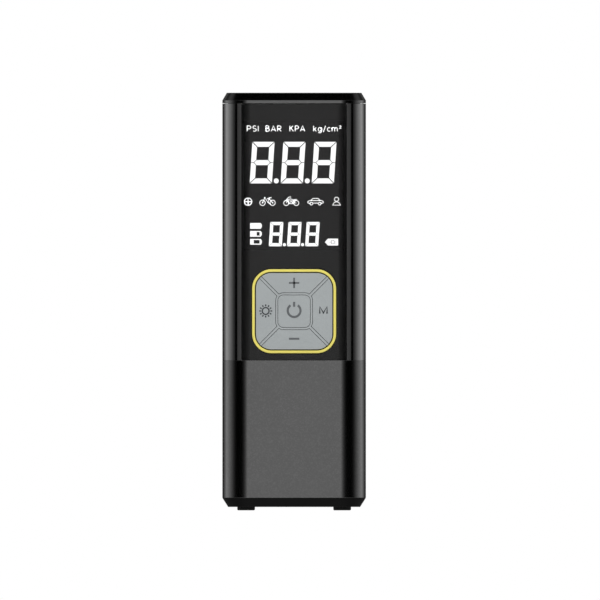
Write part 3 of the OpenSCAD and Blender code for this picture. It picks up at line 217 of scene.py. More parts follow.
# PVC, shrunk on: glossy, with fine creases round the can. It folds over the shoulder and leaves a
# steel disc 7.6 mm in radius bare.
sleeve = finish("pvc_sleeve_shrunk", "#1d55a0", 0.26, 0.8, 0.02, along=(1, 1, 4), shade=0.04)
x, y, z = add(sleeve, "SeparateXYZ", {0: add(sleeve, "TexCoord", {}).outputs["Object"]}).outputs
x = add(sleeve, "Math", {0: x}, operation="ABSOLUTE").outputs[0]
flat = add(sleeve, "CombineXYZ", {0: x, 1: y}).outputs[0]
centre = (CELL_X * MM, CELL_Y * MM, 0.0)
radius = add(sleeve, "VectorMath", {0: flat, 1: centre}, operation="DISTANCE").outputs["Value"]
bare = add(sleeve, "MapRange", {0: radius, 1: 7.7 * MM, 2: 7.6 * MM}).outputs[0]
lay_over(sleeve, bare, relief=-0.1, Base_Color="#b9bbbd", Roughness=0.3, Metallic=1.0)
dress(sleeve, "battery_cells")
# Glass-filled nylon, moulded: near black and dull, with pale fibre haze on its skin.
nylon = finish("glass_nylon_moulded", "#161617", 0.5, 0.3, 0.008, shade=0.2, along=(1, 1, 0.4))
worn(nylon, 0.25, "#2c2c2e", 0.4)
dress(nylon, "battery_holder", "key_switches", "motor_end_cap")
# Nickel strip, rolled: warm grey lines along the strip, with dull weld dots each 2 mm.
nickel = finish("nickel_strip_rolled", "#c9c7bd", 0.25, 0.3, 0.002, along=(1, 8, 1), Metallic=1.0)
weld = add(nickel, "TexCoord", {}).outputs["Object"]
weld = add(nickel, "TexVoronoi", {"Vector": weld, "Scale": 1 / (2 * MM), "Randomness": 0.2})
weld = add(nickel, "MapRange", {0: weld.outputs["Distance"], 1: 0.26, 2: 0.2}).outputs[0]
lay_over(nickel, weld, relief=-0.03, Base_Color="#7f7c74", Roughness=0.5)
dress(nickel, "battery_tabs")

# ---------- boards ----------
# Glass-epoxy boards carry the chips, the switches, the pressure sensor and the charging
# socket. Copper is etched to tracks, covered by a green mask, and tinned at the joints.


def circuit(name, mask_colour, track_colour, across, up, face):
    """A board: tracks are bars 0.45 mm wide each 1.1 mm, along the axis across or up by cells 7 mm wide,
    and drawn twice as coarse as real ones to show. Joints are dots in cells 3 mm wide. Cut edges, where
    the normal lies off the axis called face, show bare fibre."""
    board = finish(name, mask_colour, 0.3, 0.5, 0.004, shade=0.04)
    place = add(board, "TexCoord", {}).outputs["Object"]
    sides = add(board, "SeparateXYZ", {0: place}).outputs
    bars = []
    for side in (across, up):
        bar = add(board, "Math", {0: sides[side], 1: 0.55 * MM}, operation="PINGPONG").outputs[0]
        bars.append(add(board, "MapRange", {0: bar, 1: 0.28 * MM, 2: 0.34 * MM}).outputs[0])
    patch = add(board, "TexVoronoi", {"Vector": place, "Scale": 1 / (7 * MM)}).outputs["Color"]
    pick, empty, _ = add(board, "SeparateColor", {0: patch}).outputs
    pick = add(board, "Math", {0: pick, 1: 0.5}, operation="GREATER_THAN").outputs[0]
    track = add(board, "Mix", {0: pick, 2: bars[0], 3: bars[1]}).outputs[0]
    empty = add(board, "Math", {0: empty, 1: 0.35}, operation="GREATER_THAN").outputs[0]
    track = add(board, "Math", {0: track, 1: empty}, operation="MULTIPLY").outputs[0]
    lay_over(board, track, relief=0.03, Base_Color=track_colour)
    joint = add(board, "TexVoronoi", {"Vector": place, "Scale": 1 / (3 * MM)}).outputs["Distance"]
    joint = add(board, "MapRange", {0: joint, 1: 0.17, 2: 0.13}).outputs[0]
    lay_over(board, joint, relief=0.04, Base_Color="#c9c6ba", Roughness=0.3, Metallic=1.0)
    normal = add(board, "NewGeometry", {}).outputs["Normal"]
    normal = add(board, "SeparateXYZ", {0: normal}).outputs[face]
    normal = add(board, "Math", {0: normal}, operation="ABSOLUTE").outputs[0]
    cut = add(board, "MapRange", {0: normal, 1: 0.6, 2: 0.5}).outputs[0]
    return lay_over(board, cut, Base_Color="#a8935a", Roughness=0.7, Metallic=0.0)


# Green solder mask over copper: a clear lacquer, glossy, with the tracks standing up a little.
dress(circuit("solder_mask_green", "#0b4f28", "#1c7a44", 0, 2, 1), "control_board")
dress(circuit("solder_mask_green_level", "#0b4f28", "#1c7a44", 0, 1, 2), "charge_board")
# Epoxy chip bodies, transfer moulded: flat dark grey with a stippled top.
dress(worn(finish("chip_epoxy_moulded", "#1c1c1e", 0.55, 0.2, 0.006), 0.1, "#38383a", 0.5), "board_parts")
# Stainless steel shell, drawn: fine lines along the plug's way. The tongue inside is black,
# with gold contacts each 0.5 mm.
shell = finish("stainless_steel_drawn", "#bfc0c2", 0.22, 0.15, 0.002, along=(1, 0.1, 1), Metallic=1.0)
TONGUE_W, TONGUE_H, TONGUE_Z = 3.4, 0.4, 48.8
x, y, z = add(shell, "SeparateXYZ", {0: add(shell, "TexCoord", {}).outputs["Object"]}).outputs
wide = add(shell, "Math", {0: x}, operation="ABSOLUTE").outputs[0]
wide = add(shell, "Math", {0: wide, 1: TONGUE_W * MM}, operation="LESS_THAN").outputs[0]
high = add(shell, "Math", {0: z, 1: TONGUE_Z * MM, 2: TONGUE_H * MM}, operation="COMPARE").outputs[0]
tongue = add(shell, "Math", {0: wide, 1: high}, operation="MULTIPLY").outputs[0]
lay_over(shell, tongue, Base_Color="#0d0d0e", Roughness=0.5, Metallic=0.0)
pins = add(shell, "Math", {0: x, 1: 0.25 * MM}, operation="PINGPONG").outputs[0]
pins = add(shell, "Math", {0: pins, 1: 0.14 * MM}, operation="GREATER_THAN").outputs[0]
pins = add(shell, "Math", {0: pins, 1: tongue}, operation="MULTIPLY").outputs[0]
lay_over(shell, pins, Base_Color="#d8b253", Roughness=0.25, Metallic=1.0)
dress(shell, "usb_c_socket")
# Silicone wire sleeve, extruded: soft red with a dusty sheen.
dress(finish("silicone_sleeve_extruded", "#8c1512", 0.5, 0.4, 0.004, shade=0.1), "power_leads")
# Liquid-crystal polymer, moulded: chalky white with flow marks along the sensor's body.
chalk = finish("sensor_polymer_moulded", "#d8d8d0", 0.45, 0.4, 0.004, along=(1, 1, 0.3))
dress(worn(chalk, 0.15, "#bdbdb2", 0.5), "pressure_sensor")
# Silicone tube, extruded: milky, with faint lines along it and a soft shine.
dress(finish("silicone_tube_extruded", "#d6d6cf", 0.32, 0.5, 0.004, polish=0.08), "sensor_tube", "air_tube")

# ---------- motor ----------
# A brushed motor hangs under the pump: a drawn steel can with two ferrite magnets in it, and
# a rotor of stacked steel sheets wound with copper, which turns on a ground shaft.
MOTOR_X, MOTOR_Y, STACK_R = -12.6, 12.6, 8.3


def radius_from(material, x, y, z=None):
    """The distance from an upright axis at x and y in mm; with z, from that point."""
    place = add(material, "TexCoord", {}).outputs["Object"]
    keep = (1, 1, 0) if z is None else (1, 1, 1)
    place = add(material, "VectorMath", {0: place, 1: keep}, operation="MULTIPLY").outputs[0]
    centre = (x * MM, y * MM, 0 if z is None else z * MM)
    return add(material, "VectorMath", {0: place, 1: centre}, operation="DISTANCE").outputs["Value"]


def turned(material, radius, pitch, relief):
    """Lathe marks: grooves relief mm deep that repeat each pitch mm of the radius, as a triangle wave,
    and shine less at their bottoms."""
    wave = add(material, "Math", {0: radius, 1: pitch / 2 * MM}, operation="PINGPONG").outputs[0]
    wave = add(material, "MapRange", {0: wave, 1: 0, 2: pitch / 2 * MM}).outputs[0]
    return lay_over(material, wave, relief=relief, Roughness=0.42)


# Steel, deep drawn and zinc plated: grey, with drawing lines up the can and a smear of varnish.
can = finish("steel_deep_drawn", "#a6a8ab", 0.3, 0.3, 0.004, shade=0.08, along=(1, 1, 0.08), Metallic=1.0)
dress(worn(can, 0.25, "#c3c5c8", 0.22), "motor_can")
# Ferrite, pressed and sintered: dark, dry and grainy like slate.
dress(finish("ferrite_sintered", "#3c3c3f", 0.6, 0.3, 0.01, shade=0.15), "motor_magnets")
# Copper, enamelled and wound: turns of 0.4 mm, drawn at 0.8 mm to show. The rotor's rim is a stack of
# 0.5 mm steel sheets, drawn at 1 mm to show.
wound = finish("copper_wire_wound", "#a8562a", 0.28, 0.4, 0.01, shade=0.15, Metallic=1.0)
turned(wound, radius_from(wound, MOTOR_X, MOTOR_Y), 0.8, 0.15)
place = add(wound, "TexCoord", {}).outputs["Object"]
rise = add(wound, "SeparateXYZ", {0: place}).outputs["Z"]
seam = add(wound, "Math", {0: rise, 1: 0.5 * MM}, operation="PINGPONG").outputs[0]
seam = add(wound, "MapRange", {0: seam, 1: 0.1 * MM, 2: 0.0}).outputs[0]
normal = add(wound, "NewGeometry", {}).outputs["Normal"]
rim = add(wound, "SeparateXYZ", {0: normal}).outputs["Z"]
rim = add(wound, "Math", {0: rim}, operation="ABSOLUTE").outputs[0]
rim = add(wound, "Math", {0: rim, 1: 0.5}, operation="LESS_THAN").outputs[0]
stack = radius_from(wound, MOTOR_X, MOTOR_Y)
stack = add(wound, "Math", {0: stack, 1: STACK_R * MM}, operation="GREATER_THAN").outputs[0]
stack = add(wound, "Math", {0: stack, 1: rim}, operation="MULTIPLY").outputs[0]
lay_over(wound, stack, Base_Color="#85878b", Roughness=0.4)
seam = add(wound, "Math", {0: stack, 1: seam}, operation="MULTIPLY").outputs[0]
lay_over(wound, seam, relief=-0.1, Base_Color="#2a2a2c")
dress(wound, "motor_armature")
# Steel, hardened and ground: bright, with a fine cross grain and an oil film.
honed = finish("steel_ground", "#c4c6c8", 0.18, 0.15, 0.001, shade=0.04, along=(1, 1, 5), Metallic=1.0)
worn(honed, 0.1, "#dadcde", 0.12)
dress(honed, "motor_shaft", "crank_axle", "crank_pin", "wrist_pin")
# Brass, hobbed: yellow with bright tooth tips.
hobbed = finish("brass_hobbed", "#c08f3c", 0.3, 0.2, 0.003, shade=0.08, Metallic=1.0)
dress(worn(hobbed, 0.12, "#e2bd6c", 0.2), "motor_pinion")

# ---------- pump ----------
# A die-cast frame carries the gear and the cylinder. The gear's pin drives the rod and the
# piston, and air leaves through a valve in the head. Three rubber grommets hold the frame.
GEAR_X, GEAR_Y = -12.6, -1.5
# Aluminium, die cast: a mottled grey skin with a rough grain and bright fettled edges.
cast = finish("aluminium_die_cast", "#a9abae", 0.45, 0.6, 0.03, shade=0.12, Metallic=1.0)
dress(worn(cast, 0.3, "#cfd1d4", 0.3), "pump_frame", "pump_cylinder", "cylinder_head")
# Acetal, moulded: waxy white. The teeth carry a film of amber grease, thicker between them.
acetal = finish("acetal_moulded", "#e0dccc", 0.32, 0.4, 0.004, shade=0.03)
greased = radius_from(acetal, GEAR_X, GEAR_Y)
greased = add(acetal, "MapRange", {0: greased, 1: 9.6 * MM, 2: 10.8 * MM, 3: 0.0, 4: 0.5}).outputs[0]
lay_over(acetal, greased, Base_Color="#b98f45", Roughness=0.15)
dress(acetal, "crank_gear")
# The rod is the same acetal without grease, and paler where its edges have rubbed.
rod = finish("acetal_rod_moulded", "#e0dccc", 0.32, 0.4, 0.004)
dress(worn(rod, 0.15, "#f0ede2", 0.25), "connecting_rod")
# Bronze, sintered and soaked in oil: brown and porous.
dress(finish("bronze_sintered", "#a06a36", 0.42, 0.3, 0.01, shade=0.15, Metallic=1.0), "gear_bush")
# PTFE, turned: chalk white and dry, with edges gone grey where they have run in the bore.
ring_ptfe = finish("ptfe_turned", "#e6e4dc", 0.4, 0.3, 0.003)
dress(worn(ring_ptfe, 0.15, "#a9a8a2", 0.3), "piston_ring")
# Aluminium, turned: bright, with rings 0.4 mm apart, drawn twice as coarse as they are cut.
bright = finish("aluminium_turned", "#b0b6bc", 0.24, 0.2, 0.002, Metallic=1.0)
place = add(bright, "TexCoord", {}).outputs["Object"]
turned(bright, add(bright, "SeparateXYZ", {0: place}).outputs["X"], 0.4, 0.01)
dress(worn(bright, 0.15, "#d3d7db", 0.2), "piston")
# Spring steel, rolled and blued: dark with a blue edge of the oven's oxide.
blued = finish("spring_steel_blued", "#3a4454", 0.28, 0.3, 0.002, Metallic=1.0)
dress(worn(blued, 0.2, "#6d7f9d", 0.2), "intake_flap")
# Brass, turned: warm yellow with rings 0.5 mm apart, drawn twice as coarse as they are cut.
for name, x, y, z in (("valve_nipple", 20.3, GEAR_Y, 120.0), ("outlet_fitting", 0.0, 6.0, 150.0)):
    brass = finish("brass_turned_" + name, "#c4953f", 0.22, 0.2, 0.002, shade=0.06, Metallic=1.0)
    turned(brass, radius_from(brass, x, y, z), 0.5, 0.015)
    dress(worn(brass, 0.2, "#e6c680", 0.18), name)
# The outlet valve's spring, of the same ground steel, stands on the disc, and the nipple holds its top. In
# the valve it shortens by the 0.8 mm that the disc lifts; here it is an eased copy with a mesh of its own.
spring = eased("valve_spring", 0.05, honed)
low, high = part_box("valve_spring")
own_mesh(spring)

# ---------- upper sleeve ----------
# The electronics' half of the case, moulded in ABS as one piece with the two pillars beside the
# lens, and sprayed like the lower half, with a clear coat on top that gives it more gloss.
eased("upper_sleeve", 0.05, lacquered("gloss_lacquer_sprayed", "#868686", 0.14))

# ---------- display ----------
# A black ABS frame snaps over the display's LEDs. Milky light guides stand in it, one for each segment,
# word and icon, and their faces come up level with the frame.

# ABS, moulded in black with a fine dull grain, so that nothing but the guides is seen behind the lens.
dress(finish("display_frame_black", "#050505", 0.6, 0.3, 0.002), "display_housing")
# Milky polycarbonate, moulded: an even white light across each guide, with no LED to be made out in it.
light = {"Emission Color": linear("#ffffff"), "Emission Strength": 5.5}
lit = finish("light_guides_lit", "#f2f5f8", 0.4, 0.3, 0.001, **light)
dress(lit, "display_segments")

# The guides of the words and icons reach from front to back in Y.
MARK_FRONT, MARK_BACK = -24.95, -24.69


def strokes(lines, width, front, back):
    """Each line is (points, closed): a flat bar, width mm wide and from front to back in Y, carried along
    the points in X and Z. A corner of the bar is its point plus or minus half the width along the mitre,
    which is the sum of the normals before and after the point, over its dot product with one of them.
    That product is at least 0.6, so that a sharp corner stays short."""
    verts, faces = [], []
    for points, closed in lines:
        p = np.asarray(points, float) * MM
        n = len(p)
        after, before = np.roll(p, -1, 0) - p, p - np.roll(p, 1, 0)
        if not closed:
            after[-1], before[0] = before[-1], after[0]
        after /= np.linalg.norm(after, axis=1)[:, None]
        before /= np.linalg.norm(before, axis=1)[:, None]
        side_a, side_b = after[:, ::-1] * (-1, 1), before[:, ::-1] * (-1, 1)
        mitre = side_a + side_b
        mitre /= np.maximum((mitre * side_a).sum(1), 0.6)[:, None]
        left, right = p + mitre * width * MM / 2, p - mitre * width * MM / 2
        corners = np.stack([left, right, right, left], 1)
        depth = np.array([front, front, back, back]) * MM
        depth = np.broadcast_to(depth[None, :, None], (n, 4, 1))
        start = len(verts)
        verts += np.concatenate([corners[..., :1], depth, corners[..., 1:]], 2).reshape(-1, 3).tolist()
        i = np.arange(n if closed else n - 1)
        j = (i + 1) % n
        for a, b in ((0, 1), (1, 2), (2, 3), (3, 0)):
            faces += (start + np.stack([4 * i + a, 4 * i + b, 4 * j + b, 4 * j + a], 1)).tolist()
        if not closed:
            last = start + 4 * (n - 1)
            faces += [[start + 3, start + 2, start + 1, start], [last, last + 1, last + 2, last + 3]]
    return verts, faces


def pads(outlines, front, back):
    """Each outline of points in X and Z, anticlockwise from the front, becomes a plate from front to back
    in Y: its two faces are the outline, and a quad joins them on each side."""
    verts, faces = [], []
    for points in outlines:
        p = np.asarray(points, float) * MM
        n, start = len(p), len(verts)
        for y in (front, back):
            verts += np.stack([p[:, 0], np.full(n, y * MM), p[:, 1]], 1).tolist()
        i = np.arange(n)
        j = (i + 1) % n
        faces.append((start + i).tolist())
        faces.append((start + n + i[::-1]).tolist())
        faces += (start + np.stack([i + n, j + n, j, i], 1)).tolist()
    return verts, faces


def window_frame(outer, inner, front, back):
    """A flat frame: the box outer less the box inner, each (x low, x high, z low, z high) in mm."""
    a, b, c, d = outer
    e, f, g, h = inner
    return pads(
        [
            [(a, c), (b, c), (b, g), (a, g)],
            [(a, h), (b, h), (b, d), (a, d)],
            [(a, g), (e, g), (e, h), (a, h)],
            [(f, g), (b, g), (b, h), (f, h)],
        ],
        front,
        back,
    )


def built(name, shapes, material):
    """One object from shapes, each given by its points and faces."""
    verts, faces = [], []
    for v, f in shapes:
        faces += [[i + len(verts) for i in face] for face in f]
        verts += v
    mesh = bpy.data.meshes.new(name)
    mesh.from_pydata(verts, [], faces)
    mesh.materials.append(material)
    made = bpy.data.objects.new(name, mesh)
    bpy.context.scene.collection.objects.link(made)
    return made


def piece(name, shapes, material, body):
    """A new part of the object: it rides on a body."""
    made = built(name, shapes, material)
    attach(made, body)
    return made


def bowl(x, z, wide, high, start, end, count=14):
    """Points on an ellipse round (x, z), from start to end in degrees."""
    t = np.radians(np.linspace(start, end, count))
    return np.stack([x + wide * np.cos(t), z + high * np.sin(t)], 1)


def line(*runs, closed=False):
    """One line through points and runs of points, in X and Z."""
    return np.concatenate([np.atleast_2d(run) for run in runs]), closed


def ring(x, z, r):
    """A circle as a closed line."""
    return line(bowl(x, z, r, r, 0, 345, 24), closed=True)


# Each letter is its strokes, in capital heights, and its width.
STEM = line((0, 0), (0, 1))
P_BOWL = line((0, 1), bowl(0.26, 0.72, 0.28, 0.28, 90, -90), (0, 0.44))
B_TOP = line((0, 1), bowl(0.24, 0.77, 0.24, 0.23, 90, -90), (0, 0.54))
B_FOOT = line((0, 0.54), bowl(0.27, 0.27, 0.29, 0.27, 90, -90), (0, 0))
S_CURVE = line(bowl(0.27, 0.75, 0.25, 0.25, 40, 255), bowl(0.25, 0.25, 0.27, 0.25, 75, -140))
G_LOOP = line(bowl(0.26, 0.34, 0.26, 0.34, 0, 345, 20), closed=True)
G_TAIL = line((0.52, 0.68), (0.52, 0), bowl(0.26, -0.04, 0.26, 0.24, 0, -150))
M_ARCHES = [line(bowl(x, 0.44, 0.21, 0.24, 180, 0), (x + 0.21, 0)) for x in (0.21, 0.63)]
TWO = line(bowl(0.13, 0.86, 0.13, 0.14, 160, -35), (0, 0.52), (0.28, 0.52))
LETTERS = {
    "P": ([STEM, P_BOWL], 0.54),
    "S": ([S_CURVE], 0.52),
    "I": ([STEM], 0.0),
    "B": ([STEM, B_TOP, B_FOOT], 0.56),
    "A": ([line((0, 0), (0.35, 1), (0.7, 0)), line((0.12, 0.3), (0.58, 0.3))], 0.7),
    "R": ([STEM, P_BOWL, line((0.24, 0.44), (0.58, 0))], 0.58),
    "K": ([STEM, line((0.5, 1), (0.05, 0.46)), line((0.16, 0.6), (0.56, 0))], 0.56),
    "k": ([STEM, line((0.4, 0.68), (0.04, 0.3)), line((0.14, 0.4), (0.44, 0))], 0.44),
    "g": ([G_LOOP, G_TAIL], 0.52),
    "/": ([line((0, -0.16), (0.34, 1.02))], 0.34),
    "c": ([line(bowl(0.26, 0.34, 0.26, 0.34, 50, 310))], 0.44),
    "m": ([line((0, 0), (0, 0.68)), *M_ARCHES], 0.84),
    "\u00b2": ([TWO], 0.28),
    "M": ([line((0, 0), (0, 1), (0.4, 0.08), (0.8, 1), (0.8, 0))], 0.8),
}


def word(text, left, right, low, high, weight, front, back, space=0.3):
    """Letters side by side, space capital heights apart, stretched to the box from left to right and
    from low to high in mm, drawn with strokes weight mm wide."""
    starts = np.cumsum([0] + [LETTERS[c][1] + space for c in text])
    scale = np.array([(right - left - weight) / (starts[-1] - space), high - low - weight])
    origin = np.array([left + weight / 2, low + weight / 2])
    lines = [
        ((points + (x, 0)) * scale + origin, closed)
        for c, x in zip(text, starts)
        for points, closed in LETTERS[c][0]
    ]
    return strokes(lines, weight, front, back)


WORD_LOW, WORD_HIGH, WORD_LINE = 145.1, 147.5, 0.32
UNITS = [("PSI", -18.1, -13.6), ("BAR", -11.0, -4.8), ("KPA", -1.8, 4.25), ("kg/cm\u00b2", 7.3, 18.1)]
units = [
    word(text, left, right, WORD_LOW, WORD_HIGH, WORD_LINE, MARK_FRONT, MARK_BACK)
    for text, left, right in UNITS
]
piece("unit_words", units, lit, "case")

ICON_Z, ICON_LINE, BALL_LINE = 118.35, 0.26, 0.34


def drawn(x, z, lines, width=ICON_LINE):
    """Strokes for an icon whose lines are given round its own middle."""
    placed = [(points + (x, z), closed) for points, closed in lines]
    return strokes(placed, width, MARK_FRONT, MARK_BACK)


ball = [ring(0, 0, 1.38), line((0, -1.3), (0, 1.3)), line((-1.3, 0), (1.3, 0))]
bicycle = [
    ring(-1.94, -0.5, 1.04),
    ring(1.94, -0.5, 1.0),
    ring(-1.94, -0.5, 0.12),
    ring(1.94, -0.5, 0.12),
    line((-1.94, -0.5), (-1.1, 1.35), (0.15, -0.35), (0.6, 1.05), (-0.3, 1.05)),
    line((-1.35, 1.5), (-0.8, 1.5)),
    line((1.55, 1.5), (0.6, 1.4), (0.85, 0.75), (1.94, -0.5)),
    line((0.15, -0.35), (1.1, -1.1)),
]
motorcycle = [
    ring(-1.93, -0.6, 0.95),
    ring(1.93, -0.6, 0.95),
    line((-1.93, -0.6), (-1.3, 0.7)),
    line((-2.0, 0.4), (-1.55, 1.05), (-0.9, 1.65), (-0.4, 1.8), (-0.1, 1.6)),
    line((-1.3, 0.7), (-0.3, 1.0), (0.7, 0.6), (2.3, 0.95), (1.5, 0.35), (0.8, 0.25)),
    line((-1.3, 0.7), (-0.75, -0.8), (0.75, -0.8), (0.8, 0.25), (-0.75, 0.25)),
    line((0.3, -0.35), (1.93, -0.6)),
    line((-0.35, -0.25), (0.35, 0.0)),
]
car = [
    line((-2.1, -0.66), (-2.85, -0.6), (-3.0, -0.2), (-2.7, 0.15), (-1.75, 0.4), (-1.05, 1.15), (0.9, 1.2)),
    line((0.9, 1.2), (1.75, 0.4), (2.7, 0.2), (3.0, -0.15), (2.85, -0.6), (2.1, -0.66)),
    line((-1.75, 0.34), (1.75, 0.34)),
    line((-1.0, -0.62), (1.0, -0.62)),
    ring(-1.6, -0.82, 0.52),
    ring(1.6, -0.82, 0.52),
]
person = [
    ring(0, 0.85, 0.8),
    line((-1.45, -1.4), bowl(0, -1.15, 1.2, 1.0, 160, 20, 12), (1.45, -1.4), closed=True),
]
icons = [
    drawn(-17.6, ICON_Z - 0.08, ball, BALL_LINE),
    drawn(-10.18, ICON_Z, bicycle),
    drawn(-1.1, ICON_Z, motorcycle),
    drawn(8.2, ICON_Z, car),
    drawn(16.25, ICON_Z, person),
]

# A battery cell lies on its side with a tapered tip: its ends in X, and its half heights.
LEFT, SHOULDER, TIP, HIGH, TIP_HIGH, EMPTY_END = -16.85, -12.83, -12.38, 1.1, 0.43, -13.22
FULL_Z, HALF_Z, LOW_Z = 109.0, 105.95, 102.9


def cell_icon(z, window, half):
    """A cell whose empty part begins at window and reaches half up and down."""
    box = (LEFT, SHOULDER, z - HIGH, z + HIGH)
    empty = (window, EMPTY_END, z - half, z + half)
    tip = [(SHOULDER, z - HIGH), (TIP, z - TIP_HIGH), (TIP, z + TIP_HIGH), (SHOULDER, z + HIGH)]
    return [window_frame(box, empty, MARK_FRONT, MARK_BACK), pads([tip], MARK_FRONT, MARK_BACK)]


lower_half = [(LEFT, -HIGH), (SHOULDER, -HIGH), (TIP, -TIP_HIGH)]
full_cell = [(x, FULL_Z + z) for x, z in lower_half + [(x, -z) for x, z in lower_half[::-1]]]
tag = [(11.8, 102.8), (13.0, 101.5), (16.85, 101.5), (16.85, 104.1), (13.0, 104.1)]
icons += [pads([full_cell, tag], MARK_FRONT, MARK_BACK)]
icons += cell_icon(HALF_Z, -14.36, 0.72) + cell_icon(LOW_Z, -15.5, 0.68)
piece("mode_icons", icons, lit, "case")

# The charging mark lies on the tag: a plug with two pins and its lead.
plug = [
    line((13.4, 102.8), (14.3, 102.8)),
    line((14.3, 102.15), (14.3, 103.45), (15.3, 103.45), (15.3, 102.15), closed=True),
    line((15.3, 103.15), (16.0, 103.15)),
    line((15.3, 102.45), (16.0, 102.45)),
]
# A milky guide with its LED off: grey, so that the mark shows on the lit tag.
dim = finish("light_guides_dim", "#9a9c9e", 0.5, 0.3, 0.001)
plug = strokes(plug, 0.16, MARK_FRONT - 0.02, MARK_FRONT + 0.05)
piece("charge_mark", [plug], dim, "case")

# ---------- lens ----------
# A smoked polycarbonate panel lies over the display and round the keys, held by tape on the sleeve's web.
# It is printed black on the inside everywhere but in the window.


def see_through(name, colour, roughness, ior):
    """A clear plastic: plain values only, so that it is still see-through when its values are read."""
    material = bpy.data.materials.new(name)
    material.use_nodes = True
    sockets = material.node_tree.nodes["Principled BSDF"].inputs
    sockets["Base Color"].default_value = linear(colour)
    sockets["Transmission Weight"].default_value = 1.0
    sockets["Roughness"].default_value = roughness
    sockets["IOR"].default_value = ior
    return material


# Polycarbonate, smoked and polished on both sides: it darkens what lies behind it. Its IOR is under the
# usual 1.58, so that it mirrors only faintly.
dress(see_through("polycarbonate_smoked_polished", "#7c7c7c", 0.02, 1.37), "lens_panel")
# Screen ink on the lens's back face: a dull black border that hides the display's edges.
ink = finish("screen_ink_black", "#070707", 0.5, 0.2, 0.001)
BORDER, WINDOW = (-19.9, 19.9, 57.6, 155.75), (-19.1, 19.1, 99.6, 149.2)
border = window_frame(BORDER, WINDOW, -25.26, -25.215)
piece("lens_ink", [border], ink, "case")

# Foam tape, die cut: it seals the thin gap on each side of the lens. It is also painted shade: a black strip
# at the bottom of the gap stands in for the gap's shadow, so the gap reads as a black line.
gap_shade_foam = finish("foam_tape_painted_gap_shade", "#040404", 0.85, 0.3, 0.02, shade=0.2)
strip = [(20.02, 57.6), (20.28, 57.6), (20.28, 155.7), (20.02, 155.7)]
strips = pads([strip, [(-x, z) for x, z in strip[::-1]]], -25.6, -25.22)
piece("lens_seal_painted_shade", [strips], gap_shade_foam, "case")

# ---------- keypad ring ----------
# A yellow ABS ring frames the keys. It is moulded with a flange that sits behind the lens wall, and its
# crown stands just proud of the lens, with a soft outer edge and a flank that falls away to the keys.
KEYPAD_Z = 76.3


def carried(name, half, corner, section, material, body):
    """A closed section carried round a square in X and Z, half its side wide and with round corners, whose
    middle is the keypad's. A point is the path's own point, moved inwards along the path's normal by the
    section's first number, with the section's second number as its Y."""
    turn = np.radians(np.add.outer(np.arange(4) * 90, np.linspace(0, 90, 13)))
    normal = np.stack([np.cos(turn), np.sin(turn)], -1)
    side = np.array([(1, 1), (-1, 1), (-1, -1), (1, -1)])[:, None, :] * (half - corner)
    path = (side + corner * normal).reshape(-1, 2)
    normal = normal.reshape(-1, 2)
    section = np.asarray(section, float)
    flat = path[:, None, :] - normal[:, None, :] * section[None, :, :1]
    deep = np.broadcast_to(section[None, :, 1:], (len(path), len(section), 1))
    points = np.concatenate([flat[..., :1], deep, flat[..., 1:] + KEYPAD_Z], 2) * MM
    n, m = points.shape[:2]
    i, j = np.meshgrid(np.arange(n), np.arange(m), indexing="ij")
    next_i, next_j = (i + 1) % n, (j + 1) % m
    faces = [i * m + j, i * m + next_j, next_i * m + next_j, next_i * m + j]
    faces = np.stack(faces, -1).reshape(-1, 4)
    made = piece(name, [(points.reshape(-1, 3).tolist(), faces.tolist())], material, body)
    made.data.shade_smooth()
    made.data.set_sharp_from_angle(angle=np.radians(40))
    made.modifiers.new("even", "WEIGHTED_NORMAL").keep_sharp = True
    return made


# ABS in its own colour, polished in the tool: clean yellow with a soft shine.
yellow = finish("yellow_abs_moulded", "#e6d96c", 0.32, 0.3, 0.002, shade=0.03)
# Its section runs over the crown, down the flank to the keys, and back along the flange.
CROWN_Y, OUTER_R, INNER_R = -27.5, 0.25, 0.16
fillet = np.radians(np.linspace(0, 90, 5))
outer_edge = (OUTER_R, CROWN_Y + OUTER_R) - OUTER_R * np.stack([np.cos(fillet), np.sin(fillet)], 1)
inner_edge = (0.86, CROWN_Y + INNER_R) + INNER_R * np.stack([np.sin(fillet), -np.cos(fillet)], 1)
flank_and_flange = [(1.08, -26.6), (1.1, -26.4), (1.1, -24.4), (-1.6, -24.4), (-1.6, -25.2), (0, -25.2)]
ring_section = np.concatenate([outer_edge, inner_edge, flank_and_flange])
RING_HALF, RING_CORNER = 16.1, 7.4
keypad_ring = carried("keypad_ring", RING_HALF, RING_CORNER, ring_section, yellow, "case")
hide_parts("keypad_bezel")

# ---------- keys ----------
# Five ABS caps in a grid of the same grey, each moulded in one piece with the stem that works its
# switch. Their edges are eased, so the gaps between them read as dark lines.

# ABS, moulded in a finely etched tool: matt grey, a little lighter where fingers polish it.
grey = finish("grey_abs_moulded", "#a2a7a8", 0.42, 0.3, 0.004, shade=0.03)
for key in ("key_plus", "key_minus", "key_light", "key_mode", "key_power"):
    eased(key, 0.14, grey, key)
eased("key_frame", 0.1, grey)
# Silicone rubber, moulded: dull and slightly dusty.
dress(finish("silicone_moulded_grey", "#4a4c4d", 0.6, 0.5, 0.006), "key_membrane")

# Pad-printed marks: a thin dull ink, stippled by the etched plastic under it.
# The outer marks stand SIDE from the keypad's middle.
KEY_FACE, INK_RISE, SIDE = -27.4, 0.03, 10.9
PRINT = {"front": KEY_FACE - INK_RISE, "back": KEY_FACE + INK_RISE}
printed = finish("pad_print_grey", "#626567", 0.5, 0.3, 0.004, shade=0.1)
dark_print = finish("pad_print_dark", "#36393c", 0.5, 0.3, 0.004, shade=0.1)


def mark(name, lines, width, ink, body):
    """Bars width mm wide, on lines given from the keypad's middle, printed on a key."""
    placed = [(points + (0, KEYPAD_Z), closed) for points, closed in lines]
    piece(name, [strokes(placed, width, **PRINT)], ink, body)


